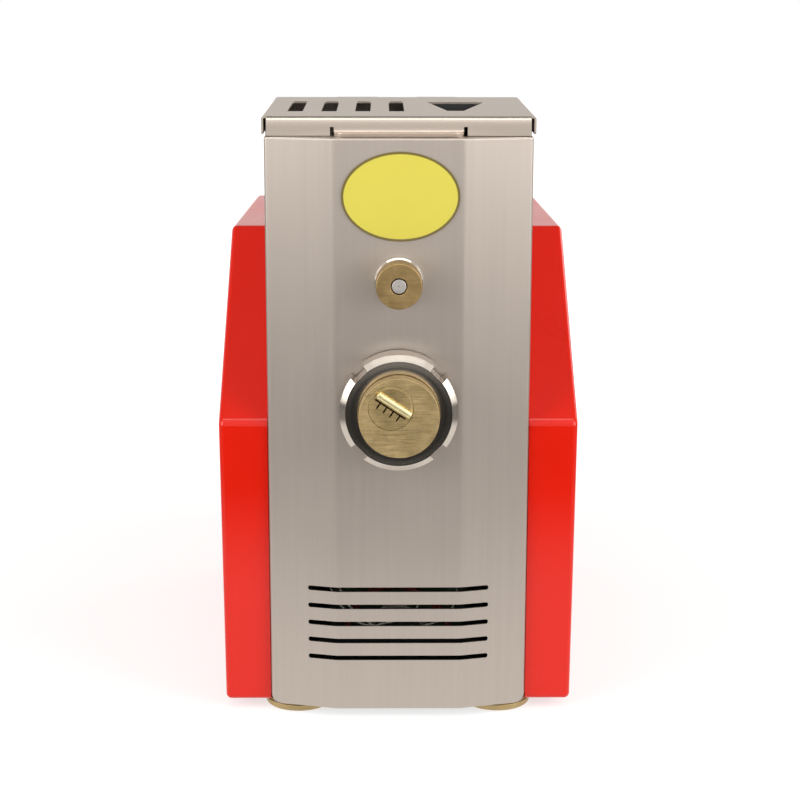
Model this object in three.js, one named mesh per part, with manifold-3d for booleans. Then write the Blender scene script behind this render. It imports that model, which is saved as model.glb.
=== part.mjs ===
// An electric pasta maker: a steel tower with a mixing hopper over an extruder barrel, two red side
// covers, a gear train behind the hopper and a geared motor in the rear housing.
// Millimetres, +Z up, the front faces -Y. The inner group's own frame starts at the front panel's
// middle facet, so there y is how far a piece lies behind that facet.

import * as THREE from "three";
import { mergeVertices } from "three/addons/utils/BufferGeometryUtils.js";
import Module from "manifold-3d";

const wasm = await Module();
wasm.setup();

// Clearances, sheet gauges and how finely round pieces are drawn
const gap = 0.3;
const runningGap = 0.4;
const overrun = 5;
const sheet = 1.5;
const plateGauge = 3;
const mergeWithin = 0.0005;
const roundSides = 32;
const nutSides = 56;
const trimSides = 20;
const smallSides = 12;
const arcSteps = 3;
const slotRoundShare = 0.98;

// Overall: the lid's top, from which the tower's upper pieces hang, and the body's length
const lidTop = 451.1;
const bodyLength = 380.1;

// Front panel: a middle facet and two side facets that fall back to the side returns
const panelHalf = 96.5;
const facetHalf = 46.3;
const facetFall = 12.7;
const panelBottom = 6.8;
const panelLidGap = 1.6;
const panelReturnEnd = 32.7;
const panelCornerRadius = 8;
const panelFlangeEnd = 18;

// Vent slots low in the front panel, measured from the bottom one
const ventCount = 5;
const ventBottom = 47.4;
const ventPitch = 13.5;
const ventHalfLength = 67.6;
const ventHeight = 3.6;

// Tower behind the front panel
const towerBack = 201.8;

// Lid with its slots, pour opening, finger lip and hinge
const lidFront = 12.4;
const lidFlangeHeight = 13.3;
const lidLipOuter = 98.5;
const lidLipHeight = 13;
const slotCount = 4;
const slotFirst = -75;
const slotPitch = 25;
const slotWidth = 10.3;
const slotStart = 52.4;
const slotLength = 99.6;
const pourCentre = 44;
const pourFrontWidth = 15;
const pourBackWidth = 49;
const pourLength = 84;
const funnelDrop = 30;
const funnelWall = 1.2;
const funnelTaper = 3;
const lipRootHalf = 46.4;
const lipEdgeHalf = 38;
const lipReach = 7.5;
const lipDrop = 4;
const reliefWidth = 2.6;
const reliefHeight = 6.3;
const hingeRadius = 4;
const hingePinRadius = 2;
const hingeHalf = 80;
const hingeDrop = 2.1;
const hingeLeafHeight = 22;
const knuckleCount = 5;

// Side covers: a vertical front below the bend, a face that slopes back above it, a level top
const coverInner = 97.2;
const coverOuter = 133.45;
const coverLowerTaper = 1.7;
const coverRearTaper = 7.3;
const coverFront = 17.5;
const coverBend = 226;
const coverTopFront = 178.4;
const coverTopDrop = 101.3;
const coverWall = 2;
const coverEdgeRadius = 4.5;
const coverBendRadius = 12;
const coverBossRadius = 7;
const coverBossSetback = 36;
const coverBossLow = 48;
const coverBossHigh = 196;

// Cover screws, sunk in counterbores, and the rear panel's screws
const screwShank = 2.5;
const screwHead = 5;
const screwHeadHeight = 2.4;
const screwLength = 12;
const screwInset = 11;

// Feet and base plate
const footRadius = 26;
const footX = 76;
const footSetback = 36.5;

// Extruder: barrel and head in the tower, auger, die and ring nut
const barrelBore = 25;
const barrelWall = 5;
const headRadius = 36;
const headReach = 14;
const headFlangeRadius = 46;
const headFlangeThickness = 6;
const panelHoleGap = 1;
const augerCore = 9;
const augerFlight = 5;
const augerPitch = 32;
const augerTip = 9;
const journalRadius = 10;
const nutRadius = 42.9;
const nutShoulder = 38.4;
const nutBack = 3;
const nutRim = 18.8;
const nutFaceReach = 24.3;
const nutNotchCount = 4;
const nutNotchWidth = 11.6;
const nutNotchRadius = 38;
const nutLip = 4.3;
const dieRadius = 29;
const dieReach = 37.6;
const dieFlangeRadius = 34;
const insertRadius = 16;
const insertX = -5.8;
const insertRise = 6.4;
const insertDepth = 7.3;
const insertLedge = 3;
const barLength = 28.5;
const barWidth = 4.5;
const barTurn = 33.7;
const barOffset = 3.3;
const barShift = 0.8;
const slitLength = 25.7;
const slitWidth = 0.9;
const slitOffset = 0.76;
const toothCount = 4;
const toothPitch = 5.6;
const toothLength = 5;
const recessRim = 1.1;
const recessDepth = 0.5;

// Gear train: auger wheel, paddle wheel above it, motor pinion below it
const gearModule = 3;
const gearWidth = 14;
const augerTeeth = 36;
const paddleTeeth = 26;
const pinionTeeth = 16;
const pressureAngle = 20;
const backlash = 0.36;
const dedendumShare = 1.25;
const flankSteps = 2;

// Hopper tub and mixing paddle
const paddleDrop = 115.9;
const hopperFront = 22;
const hopperBack = 168;
const hopperWall = 2;
const hopperRadius = 58;
const hopperRimHalf = 86;
const hopperRimDrop = 2.2;
const throatHalf = 16;
const throatFront = 118;
const throatBack = 160;
const throatWall = 4;
const paddleShaft = 5.05;
const paddleHub = 8;
const paddleReach = 50;
const paddleArms = 5;
const paddleArmWidth = 7;
const paddleArmDepth = 10;
const paddleBladeWidth = 24;
const paddleBladeThickness = 4;

// Brass knob that screws over the paddle's front bearing, and its collar
const knobRadius = 16.5;
const knobReach = 26.3;
const knobWall = 6.3;
const collarRadius = 17.5;
const collarThickness = 7.2;
const collarEdge = 2;
const bossRadius = 10;
const bossReach = 14;
const sleeveRadius = 9;
const sleeveFlange = 4.4;

// Bulkhead that carries both shafts
const bulkheadFront = 172;
const bulkheadThickness = 6;
const bulkheadDrop = 8.2;
const bearingRadius = 19.7;
const paddleBearingRadius = 13.7;

// Badge plate, left bare
const badgeX = 1.2;
const badgeWidth = 85;
const badgeHeight = 64;
const badgeDrop = 40.6;
const badgeThickness = 1.2;

// Motor group on the base plate
const gearboxHalf = 42;
const gearboxLength = 50;
const gearboxClearance = 4;
const pinionShaft = 7;
const motorRadius = 52;
const motorRearRoom = 15;
const motorFinCount = 3;
const motorFinDepth = 4;
const fanCoverLength = 20;
const fanHoleCount = 8;
const bracketHalf = 46;
const bracketWeb = 6;
const capacitorRadius = 19;
const capacitorSetback = 10;
const capacitorX = -70;

// Electronics behind the vents
const controlBoxHalf = 62;
const controlBoxFront = 44;
const controlBoxLength = 108;
const controlBoxHeight = 36;
const boardSetback = 24;
const boardHeight = 66;
const boardGauge = 1.6;
const componentReach = 9;
const boardPartShares = [-0.75, -0.25, 0.25, 0.75];
const loomRadius = 2.6;
const loomSpreadShares = [0.34, 0.62];
const loomRiseShares = [0.4, 0.62];
const loomPathShares = [[-1, 0], [-1, 0.33], [-0.5, 0.9], [0, 1], [0.5, 0.8], [1, 0.33], [1, 0]];
const terminalHalf = 32;
const terminalWidth = 18;
const terminalHeight = 16;
const terminalCount = 5;
const cableHoleHalf = 32;
const cableHoleBottom = 18;
const cableHoleHeight = 18;

// Rear panel with its controls and inlet
const controlsDrop = 64.8;
const controlPitch = 45;
const selectorTaperShare = 0.86;
const selectorRadius = 16;
const selectorReach = 16;
const selectorShaft = 4;
const dialRadius = 22;
const dialThickness = 1.2;
const buttonRadius = 10;
const buttonReach = 6.9;
const bezelRadius = 14;
const bezelHeight = 3.6;
const buttonFlange = 2;
const inletX = -58;
const inletZ = 50;
const inletWidth = 27.6;
const inletHeight = 20;
const inletDepth = 24;
const inletWall = 3;
const inletEar = 11;
const inletFlange = 2.6;
const inletPinPitch = 7;
const inletPinRise = 2;
const rearReturn = 18;
const rearVentDrop = 135;

// Lid sensor and magnet
const sensorHalf = 12;
const sensorHeight = 15;
const sensorDepth = 8;
const magnetHalf = 8;
const magnetHeight = 5;

// Places worked out from the sizes above
const dieBarReach = dieReach + barWidth / 2;
const rearReach = bodyLength + selectorReach;
const innerHalf = panelHalf - sheet;
const baseTop = panelBottom + plateGauge;
const panelTop = lidTop - lidFlangeHeight - panelLidGap;
const lidUnder = lidTop - sheet;
const towerTop = lidUnder - gap;
const coverTop = lidTop - coverTopDrop;
const bulkheadTop = panelTop - bulkheadDrop;
const badgeZ = panelTop - badgeDrop;
const controlsZ = coverTop - controlsDrop;
const rearVentBottom = controlsZ - rearVentDrop;
const gearFront = bulkheadFront + bulkheadThickness + plateGauge;
const gearSpan = [gearFront, gearFront + gearWidth];
const gearboxFront = gearSpan[1] + gearboxClearance;
const motorFront = gearboxFront + gearboxLength + gap;
const motorBack = bodyLength - sheet - motorRearRoom - fanCoverLength - gap;
const capacitorLength = motorBack - motorFront - capacitorSetback;
const paddleZ = lidTop - paddleDrop;
const augerZ = paddleZ - (gearModule * (augerTeeth + paddleTeeth)) / 2;
const pinionZ = augerZ - (gearModule * (augerTeeth + pinionTeeth)) / 2;
const hopperRim = panelTop - hopperRimDrop;
const hingeY = towerBack + gap + hingeRadius;
const hingeZ = lidUnder - gap - hingeDrop - hingePinRadius;

const steel = { color: 0xb4aaa0, roughness: 0.35, metalness: 1 };
const polished = { color: 0xc8c8c8, roughness: 0.15, metalness: 1 };
const brass = { color: 0xb39a62, roughness: 0.35, metalness: 1 };
const redPaint = { color: 0xe3301c, roughness: 0.15, metalness: 0 };
const yellowPaint = { color: 0xe8dc5a, roughness: 0.3, metalness: 0 };
const cast = { color: 0x8c8f92, roughness: 0.5, metalness: 0.8 };
const darkPaint = { color: 0x2c3a4a, roughness: 0.5, metalness: 0.2 };
const blackPlastic = { color: 0x17181a, roughness: 0.5, metalness: 0 };
const whitePlastic = { color: 0xe6e4dc, roughness: 0.5, metalness: 0 };
const greenPlastic = { color: 0x2c8a45, roughness: 0.4, metalness: 0 };
const greenBoard = { color: 0x1f5c3a, roughness: 0.6, metalness: 0 };

const machine = new THREE.Group();
machine.position.y = (dieBarReach - rearReach) / 2;
const pastaMaker = new THREE.Group();
pastaMaker.add(machine);

// A closed surface becomes a solid, turned right side out
function solidOf(geometry) {
  const bare = new THREE.BufferGeometry();
  bare.setAttribute("position", geometry.getAttribute("position"));
  bare.setIndex(geometry.getIndex());
  const merged = mergeVertices(bare, mergeWithin);
  const kept = [];
  const index = merged.index.array;
  for (let i = 0; i < index.length; i += 3) {
    const [a, b, c] = [index[i], index[i + 1], index[i + 2]];
    if (a !== b && b !== c && c !== a) kept.push(a, b, c);
  }
  const build = (triangles) =>
    new wasm.Manifold(
      new wasm.Mesh({
        numProp: 3,
        vertProperties: merged.attributes.position.array,
        triVerts: new Uint32Array(triangles),
      }),
    );
  const made = build(kept);
  return made.volume() < 0 ? build(kept.reverse()) : made;
}

// A solid becomes a named mesh of the machine
function place(name, look, solid) {
  const found = solid.getMesh();
  const points = new Float32Array(found.numVert * 3);
  for (let i = 0; i < found.numVert; i += 1) {
    points.set(found.vertProperties.subarray(i * found.numProp, i * found.numProp + 3), i * 3);
  }
  const geometry = new THREE.BufferGeometry();
  geometry.setAttribute("position", new THREE.BufferAttribute(points, 3));
  geometry.setIndex(new THREE.BufferAttribute(found.triVerts, 1));
  geometry.computeVertexNormals();
  const mesh = new THREE.Mesh(geometry, new THREE.MeshStandardMaterial(look));
  mesh.name = name;
  machine.add(mesh);
}

const join = (...solids) => solids.reduce((whole, one) => whole.add(one));
const cut = (solid, ...cutters) => cutters.reduce((whole, one) => whole.subtract(one), solid);
const radians = (degrees) => (degrees * Math.PI) / 180;
const shift = (solid, x, y, z) => solid.translate([x, y, z]);
const mirrored = (outline) => outline.map(([x, y]) => [-x, y]).reverse();

function block([x0, x1], [y0, y1], [z0, z1]) {
  const box = new THREE.BoxGeometry(x1 - x0, y1 - y0, z1 - z0);
  return solidOf(box.translate((x0 + x1) / 2, (y0 + y1) / 2, (z0 + z1) / 2));
}

function extruded(outline, length) {
  const shape = new THREE.Shape(outline.map(([u, v]) => new THREE.Vector2(u, v)));
  return new THREE.ExtrudeGeometry(shape, { depth: length, bevelEnabled: false });
}

// An outline of [x, y] points runs up through the span
function alongZ(outline, [from, to]) {
  return solidOf(extruded(outline, to - from).translate(0, 0, from));
}

// An outline of [x, z] points runs back through the span
function alongY(outline, [from, to]) {
  return solidOf(extruded(outline, to - from).rotateX(Math.PI / 2).translate(0, to, 0));
}

// An outline of [y, z] points runs sideways through the span
function alongX(outline, [from, to]) {
  const turn = new THREE.Matrix4().makeBasis(
    new THREE.Vector3(0, 1, 0),
    new THREE.Vector3(0, 0, 1),
    new THREE.Vector3(1, 0, 0),
  );
  return solidOf(extruded(outline, to - from).applyMatrix4(turn).translate(from, 0, 0));
}

// A closed profile of [radius, y] points turned about a line along Y
function turned(profile, x, z, sides = roundSides) {
  const onAxis = profile[0][0] === 0 && profile[profile.length - 1][0] === 0;
  const loop = onAxis ? profile : [...profile, profile[0]];
  const points = loop.map(([radius, y]) => new THREE.Vector2(radius, y));
  return solidOf(new THREE.LatheGeometry(points, sides).translate(x, 0, z));
}

function rod(radius, [from, to], x, z, sides = roundSides) {
  return turned([[0, from], [radius, from], [radius, to], [0, to]], x, z, sides);
}

function tube(outer, inner, [from, to], x, z, sides = roundSides) {
  return turned([[inner, from], [outer, from], [outer, to], [inner, to]], x, z, sides);
}

function rodAlongX(radius, [from, to], y, z) {
  const geometry = new THREE.CylinderGeometry(radius, radius, to - from, smallSides);
  return solidOf(geometry.rotateZ(Math.PI / 2).translate((from + to) / 2, y, z));
}

// Rings of [x, y, z] points with equal counts become one convex-ended solid
function loft(rings) {
  const count = rings[0].length;
  const positions = rings.flat(2);
  const index = [];
  for (let r = 0; r + 1 < rings.length; r += 1) {
    for (let i = 0; i < count; i += 1) {
      const j = (i + 1) % count;
      const [a, b, c, d] = [r * count + i, r * count + j, (r + 1) * count + j, (r + 1) * count + i];
      index.push(a, b, c, a, c, d);
    }
  }
  const last = (rings.length - 1) * count;
  for (let i = 1; i + 1 < count; i += 1) {
    index.push(0, i + 1, i);
    index.push(last, last + i, last + i + 1);
  }
  const geometry = new THREE.BufferGeometry();
  geometry.setAttribute("position", new THREE.BufferAttribute(new Float32Array(positions), 3));
  geometry.setIndex(index);
  return solidOf(geometry);
}

// A convex outline walked anticlockwise, moved in by inset, with each corner rounded
function roundedOutline(corners, radii, inset = 0, steps = arcSteps) {
  const count = corners.length;
  const lines = corners.map(([u, v], i) => {
    const [nextU, nextV] = corners[(i + 1) % count];
    const length = Math.hypot(nextU - u, nextV - v);
    const along = [(nextU - u) / length, (nextV - v) / length];
    return { along, start: [u - along[1] * inset, v + along[0] * inset] };
  });
  const outline = [];
  lines.forEach(({ along, start }, i) => {
    const before = lines[(i + count - 1) % count];
    const cross = before.along[0] * along[1] - before.along[1] * along[0];
    const offset = [start[0] - before.start[0], start[1] - before.start[1]];
    const reach = (offset[0] * along[1] - offset[1] * along[0]) / cross;
    const corner = [
      before.start[0] + before.along[0] * reach,
      before.start[1] + before.along[1] * reach,
    ];
    const turn = Math.atan2(cross, before.along[0] * along[0] + before.along[1] * along[1]);
    const radius = Math.max(radii[i] - inset, gap);
    const back = radius * Math.tan(turn / 2);
    const centre = [
      corner[0] - before.along[0] * back - before.along[1] * radius,
      corner[1] - before.along[1] * back + before.along[0] * radius,
    ];
    const first = Math.atan2(-before.along[0], before.along[1]);
    for (let step = 0; step <= steps; step += 1) {
      const angle = first + (turn * step) / steps;
      outline.push([centre[0] + radius * Math.cos(angle), centre[1] + radius * Math.sin(angle)]);
    }
  });
  return outline;
}

const rectangle = ([u0, u1], [v0, v1]) => [[u0, v0], [u1, v0], [u1, v1], [u0, v1]];

function circle(radius, u = 0, v = 0, sides = roundSides, stretch = 1) {
  return Array.from({ length: sides }, (_, i) => {
    const angle = (2 * Math.PI * i) / sides;
    return [u + radius * stretch * Math.cos(angle), v + radius * Math.sin(angle)];
  });
}

// A slot with round ends, lying along u
function slot(halfLength, height, u, v) {
  const radius = height / 2;
  const corners = rectangle([u - halfLength, u + halfLength], [v - radius, v + radius]);
  return roundedOutline(corners, corners.map(() => radius * slotRoundShare));
}

// The front panel's plan from one side return to the other, moved in by inset
function panelPlan(inset, end) {
  const slope = Math.atan2(facetFall, panelHalf - facetHalf);
  const bendIn = inset * Math.tan(slope / 2);
  const cornerIn = inset * Math.tan((Math.PI / 2 - slope) / 2);
  const right = [
    [facetHalf - bendIn, inset],
    [panelHalf - inset, facetFall + cornerIn],
    [panelHalf - inset, end],
  ];
  return [...mirrored(right), ...right];
}

function screwAlongY(name, x, headFront, z, facing) {
  const head = [headFront, headFront - facing * screwHeadHeight];
  const shank = [head[1] + (facing * screwHeadHeight) / 2, headFront - facing * screwLength];
  const ordered = ([a, b]) => [Math.min(a, b), Math.max(a, b)];
  const solid = join(
    rod(screwHead, ordered(head), x, z, smallSides),
    rod(screwShank, ordered(shank), x, z, smallSides),
  );
  place(name, polished, solid);
}

function makeBase() {
  const plan = panelPlan(sheet + gap, bodyLength - sheet - gap);
  place("base_plate", cast, alongZ(plan, [panelBottom, baseTop]));
  const foot = (name, side, y) => {
    const edge = panelBottom / 8;
    const height = panelBottom - gap;
    const profile = [[0, 0], [footRadius - edge, 0], [footRadius, edge], [footRadius, height], [0, height]];
    const points = profile.map(([radius, z]) => new THREE.Vector2(radius, z));
    const geometry = new THREE.LatheGeometry(points, roundSides).rotateX(Math.PI / 2);
    place(name, brass, solidOf(geometry.translate(side * footX, y, 0)));
  };
  for (const [sideName, side] of [["left", -1], ["right", 1]]) {
    foot(`foot_front_${sideName}`, side, footSetback);
    foot(`foot_rear_${sideName}`, side, bodyLength - footSetback);
  }
}

function makeFrontPanel() {
  const outer = panelPlan(0, panelReturnEnd);
  const hollow = panelPlan(sheet, panelReturnEnd + overrun);
  const flange = panelPlan(0, panelFlangeEnd);
  const body = join(
    cut(alongZ(outer, [panelBottom, panelTop]), alongZ(hollow, [panelBottom - overrun, panelTop + overrun])),
    alongZ(flange, [panelTop - sheet, panelTop]),
  );
  const face = rectangle([-panelHalf, panelHalf], [panelBottom, panelTop]);
  const faceRadii = [panelCornerRadius, panelCornerRadius, sheet, sheet];
  const through = [-overrun, facetFall + overrun];
  const vents = Array.from({ length: ventCount }, (_, i) =>
    alongY(slot(ventHalfLength, ventHeight, 0, ventBottom + i * ventPitch), through),
  );
  const panel = cut(
    body.intersect(alongY(roundedOutline(face, faceRadii), [-overrun, panelReturnEnd + overrun])),
    rod(headRadius + panelHoleGap, through, 0, augerZ),
    rod(bossRadius + panelHoleGap, through, 0, paddleZ),
    ...vents,
  );
  place("front_panel", steel, panel);
  const badge = circle(badgeHeight / 2, badgeX, badgeZ, roundSides, badgeWidth / badgeHeight);
  place("badge_plate", yellowPaint, alongY(badge, [-gap - badgeThickness, -gap]));
}

function makeTower() {
  const front = panelReturnEnd + gap;
  const outer = rectangle([-panelHalf, panelHalf], [front, towerBack]);
  const inner = rectangle([-innerHalf, innerHalf], [front - overrun, towerBack - sheet]);
  const rearDoor = block(
    [-innerHalf, innerHalf],
    [towerBack - sheet - overrun, towerBack + overrun],
    [panelBottom - overrun, coverTop - 2 * sheet],
  );
  const shell = cut(
    alongZ(outer, [panelBottom, towerTop]),
    alongZ(inner, [panelBottom - overrun, towerTop + overrun]),
    rearDoor,
    ...coverBosses()
      .filter(({ y }) => y < towerBack)
      .map(({ y, z }) => rodAlongX(screwShank + gap, [-panelHalf - overrun, panelHalf + overrun], y, z)),
  );
  place("tower_shell", steel, shell);
  const bulkheadSpan = [bulkheadFront, bulkheadFront + bulkheadThickness];
  const through = [bulkheadSpan[0] - overrun, bulkheadSpan[1] + overrun];
  const cableHoleLow = baseTop + cableHoleBottom;
  const cableHole = roundedOutline(
    rectangle([-cableHoleHalf, cableHoleHalf], [cableHoleLow, cableHoleLow + cableHoleHeight]),
    [plateGauge, plateGauge, plateGauge, plateGauge],
  );
  const half = innerHalf - gap;
  const bulkhead = cut(
    alongY(rectangle([-half, half], [baseTop + gap, bulkheadTop]), bulkheadSpan),
    rod(bearingRadius + gap, through, 0, augerZ),
    rod(paddleBearingRadius + gap, through, 0, paddleZ),
    alongY(cableHole, through),
  );
  place("bulkhead", cast, bulkhead);
}

// Where the side cover's outer face lies; above the bend it also draws in towards the back
function coverFace(y, z) {
  if (z < coverBend) {
    return coverOuter - (coverLowerTaper * (coverBend - z)) / (coverBend - panelBottom);
  }
  const riseShare = (z - coverBend) / (coverTop - coverBend);
  const rearShare = Math.max(0, (y - coverTopFront) / (bodyLength - coverTopFront));
  return coverOuter - riseShare * coverRearTaper * rearShare;
}

// Where the covers are screwed to the tower's sides and to the rear panel's returns
function coverBosses() {
  const front = panelReturnEnd + coverBossSetback;
  const rear = bodyLength - sheet - rearReturn / 2;
  return [
    { y: front, z: coverBossLow, screwed: true },
    { y: front, z: coverBossHigh, screwed: false },
    { y: rear, z: coverBossLow, screwed: true },
    { y: rear, z: controlsZ, screwed: false },
  ];
}

function makeSideCover(sideName, side) {
  const corners = [
    [bodyLength, coverTop],
    [coverTopFront, coverTop],
    [coverFront, coverBend],
    [coverFront, panelBottom],
    [bodyLength, panelBottom],
  ];
  const radii = [coverEdgeRadius, coverBendRadius, coverBendRadius, coverEdgeRadius, coverEdgeRadius];
  const ring = (inset, short) => {
    const outline = [[bodyLength - inset, coverBend], ...roundedOutline(corners, radii, inset)];
    return outline.map(([y, z]) => [side * (coverFace(y, z) - short), y, z]);
  };
  const atPlane = (x, inset) => ring(inset, 0).map(([, y, z]) => [side * x, y, z]);
  const shell = (inset, mouth) => {
    const radius = coverEdgeRadius - inset;
    const rounding = Array.from({ length: arcSteps + 1 }, (_, i) => {
      const angle = (Math.PI / 2) * (i / arcSteps);
      return ring(inset + radius * (1 - Math.cos(angle)), inset + radius * (1 - Math.sin(angle)));
    });
    return loft([atPlane(mouth, inset), ...rounding]);
  };
  const sideways = (near, far) => [side * near, side * far].sort((a, b) => a - b);
  const bossStart = panelHalf + gap;
  const bosses = coverBosses().map(({ y, z }) =>
    rodAlongX(coverBossRadius, sideways(bossStart, coverFace(y, z) - coverWall / 2), y, z),
  );
  const holes = coverBosses()
    .filter(({ screwed }) => screwed)
    .flatMap(({ y, z }) => {
      const sunk = coverFace(y, z) - screwHeadHeight - gap;
      return [
        rodAlongX(screwShank + gap, sideways(bossStart - overrun, coverOuter + overrun), y, z),
        rodAlongX(screwHead + gap, sideways(sunk - gap, coverOuter + overrun), y, z),
      ];
    });
  const hollowed = cut(shell(0, coverInner), shell(coverWall, coverInner - overrun));
  place(`${sideName}_side_cover`, redPaint, cut(join(hollowed, ...bosses), ...holes));
  coverBosses()
    .filter(({ screwed }) => screwed)
    .forEach(({ y, z }, i) => {
      const top = coverFace(y, z) - gap;
      const screw = join(
        rodAlongX(screwHead, sideways(top - screwHeadHeight, top), y, z),
        rodAlongX(screwShank, sideways(panelHalf - plateGauge, top - screwHeadHeight / 2), y, z),
      );
      place(`${sideName}_cover_screw_${i + 1}`, polished, screw);
    });
}

function makeRearHousing() {
  const half = coverInner - gap;
  const deckSpan = [coverTop - sheet, coverTop];
  place("deck_cover", redPaint, alongZ(rectangle([-half, half], [towerBack + gap, bodyLength]), deckSpan));
  const back = [bodyLength - sheet, bodyLength];
  const top = coverTop - sheet - gap;
  const rise = [panelBottom, top];
  const through = [bodyLength - sheet - overrun, bodyLength + overrun];
  const returns = [-1, 1].map((side) => {
    const span = [side * innerHalf, side * panelHalf].sort((a, b) => a - b);
    return block(span, [bodyLength - sheet - rearReturn, bodyLength], rise);
  });
  const vents = Array.from({ length: ventCount }, (_, i) =>
    alongY(slot(ventHalfLength, ventHeight, 0, rearVentBottom + i * ventPitch), through),
  );
  const rearBosses = coverBosses().filter(({ y }) => y > towerBack);
  const panel = cut(
    join(block([-half, half], back, rise), ...returns),
    rod(selectorShaft + runningGap, through, controlPitch, controlsZ, smallSides),
    rod(buttonRadius + runningGap, through, 0, controlsZ, trimSides),
    rod(buttonRadius + runningGap, through, -controlPitch, controlsZ, trimSides),
    block(
      [inletX - inletWidth / 2 - gap, inletX + inletWidth / 2 + gap],
      through,
      [inletZ - inletHeight / 2 - gap, inletZ + inletHeight / 2 + gap],
    ),
    ...vents,
    ...rearScrewPlaces().map(({ x, z }) => rod(screwShank + gap, through, x, z, smallSides)),
    ...rearBosses.map(({ y, z }) =>
      rodAlongX(screwShank + gap, [-panelHalf - overrun, panelHalf + overrun], y, z),
    ),
  );
  place("rear_panel", steel, panel);
  rearScrewPlaces().forEach(({ name, x, z }) =>
    screwAlongY(name, x, bodyLength + gap + screwHeadHeight, z, 1),
  );
}

function rearScrewPlaces() {
  const x = innerHalf - screwInset;
  const top = coverTop - sheet - screwInset;
  const bottom = panelBottom + screwInset;
  return [
    { name: "rear_screw_low_left", x: -x, z: bottom },
    { name: "rear_screw_low_right", x, z: bottom },
    { name: "rear_screw_high_left", x: -x, z: top },
    { name: "rear_screw_high_right", x, z: top },
  ];
}

function makeLid() {
  const top = [lidFront, towerBack];
  const lipInner = lidLipOuter - sheet;
  const slotY = lidFront + slotStart;
  const under = [lidUnder - overrun, lidTop + overrun];
  const through = (outline) => alongZ(outline, under);
  const slots = Array.from({ length: slotCount }, (_, i) => {
    const x = slotFirst + i * slotPitch;
    return through(rectangle([x - slotWidth / 2, x + slotWidth / 2], [slotY, slotY + slotLength]));
  });
  const flangeSpan = [lidFront, lidFront + sheet];
  const flangeBottom = lidTop - lidFlangeHeight;
  const relief = (side) => {
    const span = [side * (lipRootHalf + reliefWidth), side * lipRootHalf].sort((a, b) => a - b);
    return block(span, [lidFront - overrun, lidFront + overrun], [flangeBottom - overrun, flangeBottom + reliefHeight]);
  };
  const tipDrop = [
    [lidFront + sheet / 2, flangeBottom + lipDrop],
    [lidFront - lipReach, flangeBottom],
    [lidFront - lipReach, flangeBottom - sheet / 2],
    [lidFront + sheet / 2, flangeBottom + lipDrop - sheet],
  ];
  const lipPlan = [
    [-lipRootHalf, lidFront + sheet],
    [-lipRootHalf, lidFront],
    [-lipEdgeHalf, lidFront - lipReach],
    [lipEdgeHalf, lidFront - lipReach],
    [lipRootHalf, lidFront],
    [lipRootHalf, lidFront + sheet],
  ];
  const lip = alongX(tipDrop, [-lipRootHalf, lipRootHalf]).intersect(alongZ(lipPlan, [flangeBottom - overrun, lidTop]));
  const underLip = block(
    [-lipRootHalf, lipRootHalf],
    [lidFront - overrun, lidFront + overrun],
    [flangeBottom - overrun, flangeBottom + lipDrop - sheet],
  );
  const sides = [-1, 1].map((side) => {
    const span = [side * lipInner, side * lidLipOuter].sort((a, b) => a - b);
    return block(span, [lidFront + sheet, towerBack], [lidTop - lidLipHeight, lidTop]);
  });
  const flange = cut(
    block([-lipInner - gap / 2, lipInner + gap / 2].map((x) => x - Math.sign(x) * sheet), flangeSpan, [flangeBottom, lidTop]),
    relief(-1),
    relief(1),
    underLip,
  );
  const knuckles = knuckleSpans(1).map((span) =>
    join(
      rodAlongX(hingeRadius, span, hingeY, hingeZ),
      block(span, [hingeY - sheet / 2, hingeY + sheet / 2], [hingeZ, lidTop]),
      block(span, [towerBack - sheet, hingeY + sheet / 2], [lidUnder, lidTop]),
    ),
  );
  const panel = cut(
    join(block([-lidLipOuter, lidLipOuter], top, [lidUnder, lidTop]), flange, lip, ...sides, ...knuckles),
    rodAlongX(hingePinRadius + gap, [-hingeHalf - overrun, hingeHalf + overrun], hingeY, hingeZ),
    ...slots,
    through(pourOutline(0)),
  );
  place("lid_panel", steel, panel);
  const levels = (grow) => [
    pourOutline(grow).map(([x, y]) => [x, y, lidUnder - gap]),
    pourOutline(grow - funnelTaper).map(([x, y]) => [x, y, lidUnder - funnelDrop]),
  ];
  const stretch = (rings) => {
    const [upper, lower] = rings;
    const past = overrun / funnelDrop;
    const beyond = (a, b) => a.map((point, i) => point.map((value, k) => value + (value - b[i][k]) * past));
    return [beyond(upper, lower), beyond(lower, upper)];
  };
  place("pour_funnel", blackPlastic, cut(loft(levels(funnelWall)), loft(stretch(levels(0)))));
  const magnetY = lidFront + sheet + gap;
  const magnet = block(
    [-magnetHalf, magnetHalf],
    [magnetY, magnetY + 2 * magnetHalf],
    [lidUnder - gap - magnetHeight, lidUnder - gap],
  );
  place("lid_magnet", polished, magnet);
}

// The pour opening's four corners, wider at the back, grown outwards by a margin
function pourOutline(grow) {
  const front = lidFront + slotStart;
  const back = front + pourLength;
  return [
    [pourCentre - pourFrontWidth / 2 - grow, front - grow],
    [pourCentre + pourFrontWidth / 2 + grow, front - grow],
    [pourCentre + pourBackWidth / 2 + grow, back + grow],
    [pourCentre - pourBackWidth / 2 - grow, back + grow],
  ];
}

// Hinge knuckles take turns along the pin: 0 for the leaf's, 1 for the lid's
function knuckleSpans(first) {
  const length = (2 * hingeHalf) / knuckleCount;
  const spans = [];
  for (let i = first; i < knuckleCount; i += 2) {
    spans.push([-hingeHalf + i * length + gap / 2, -hingeHalf + (i + 1) * length - gap / 2]);
  }
  return spans;
}

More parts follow.
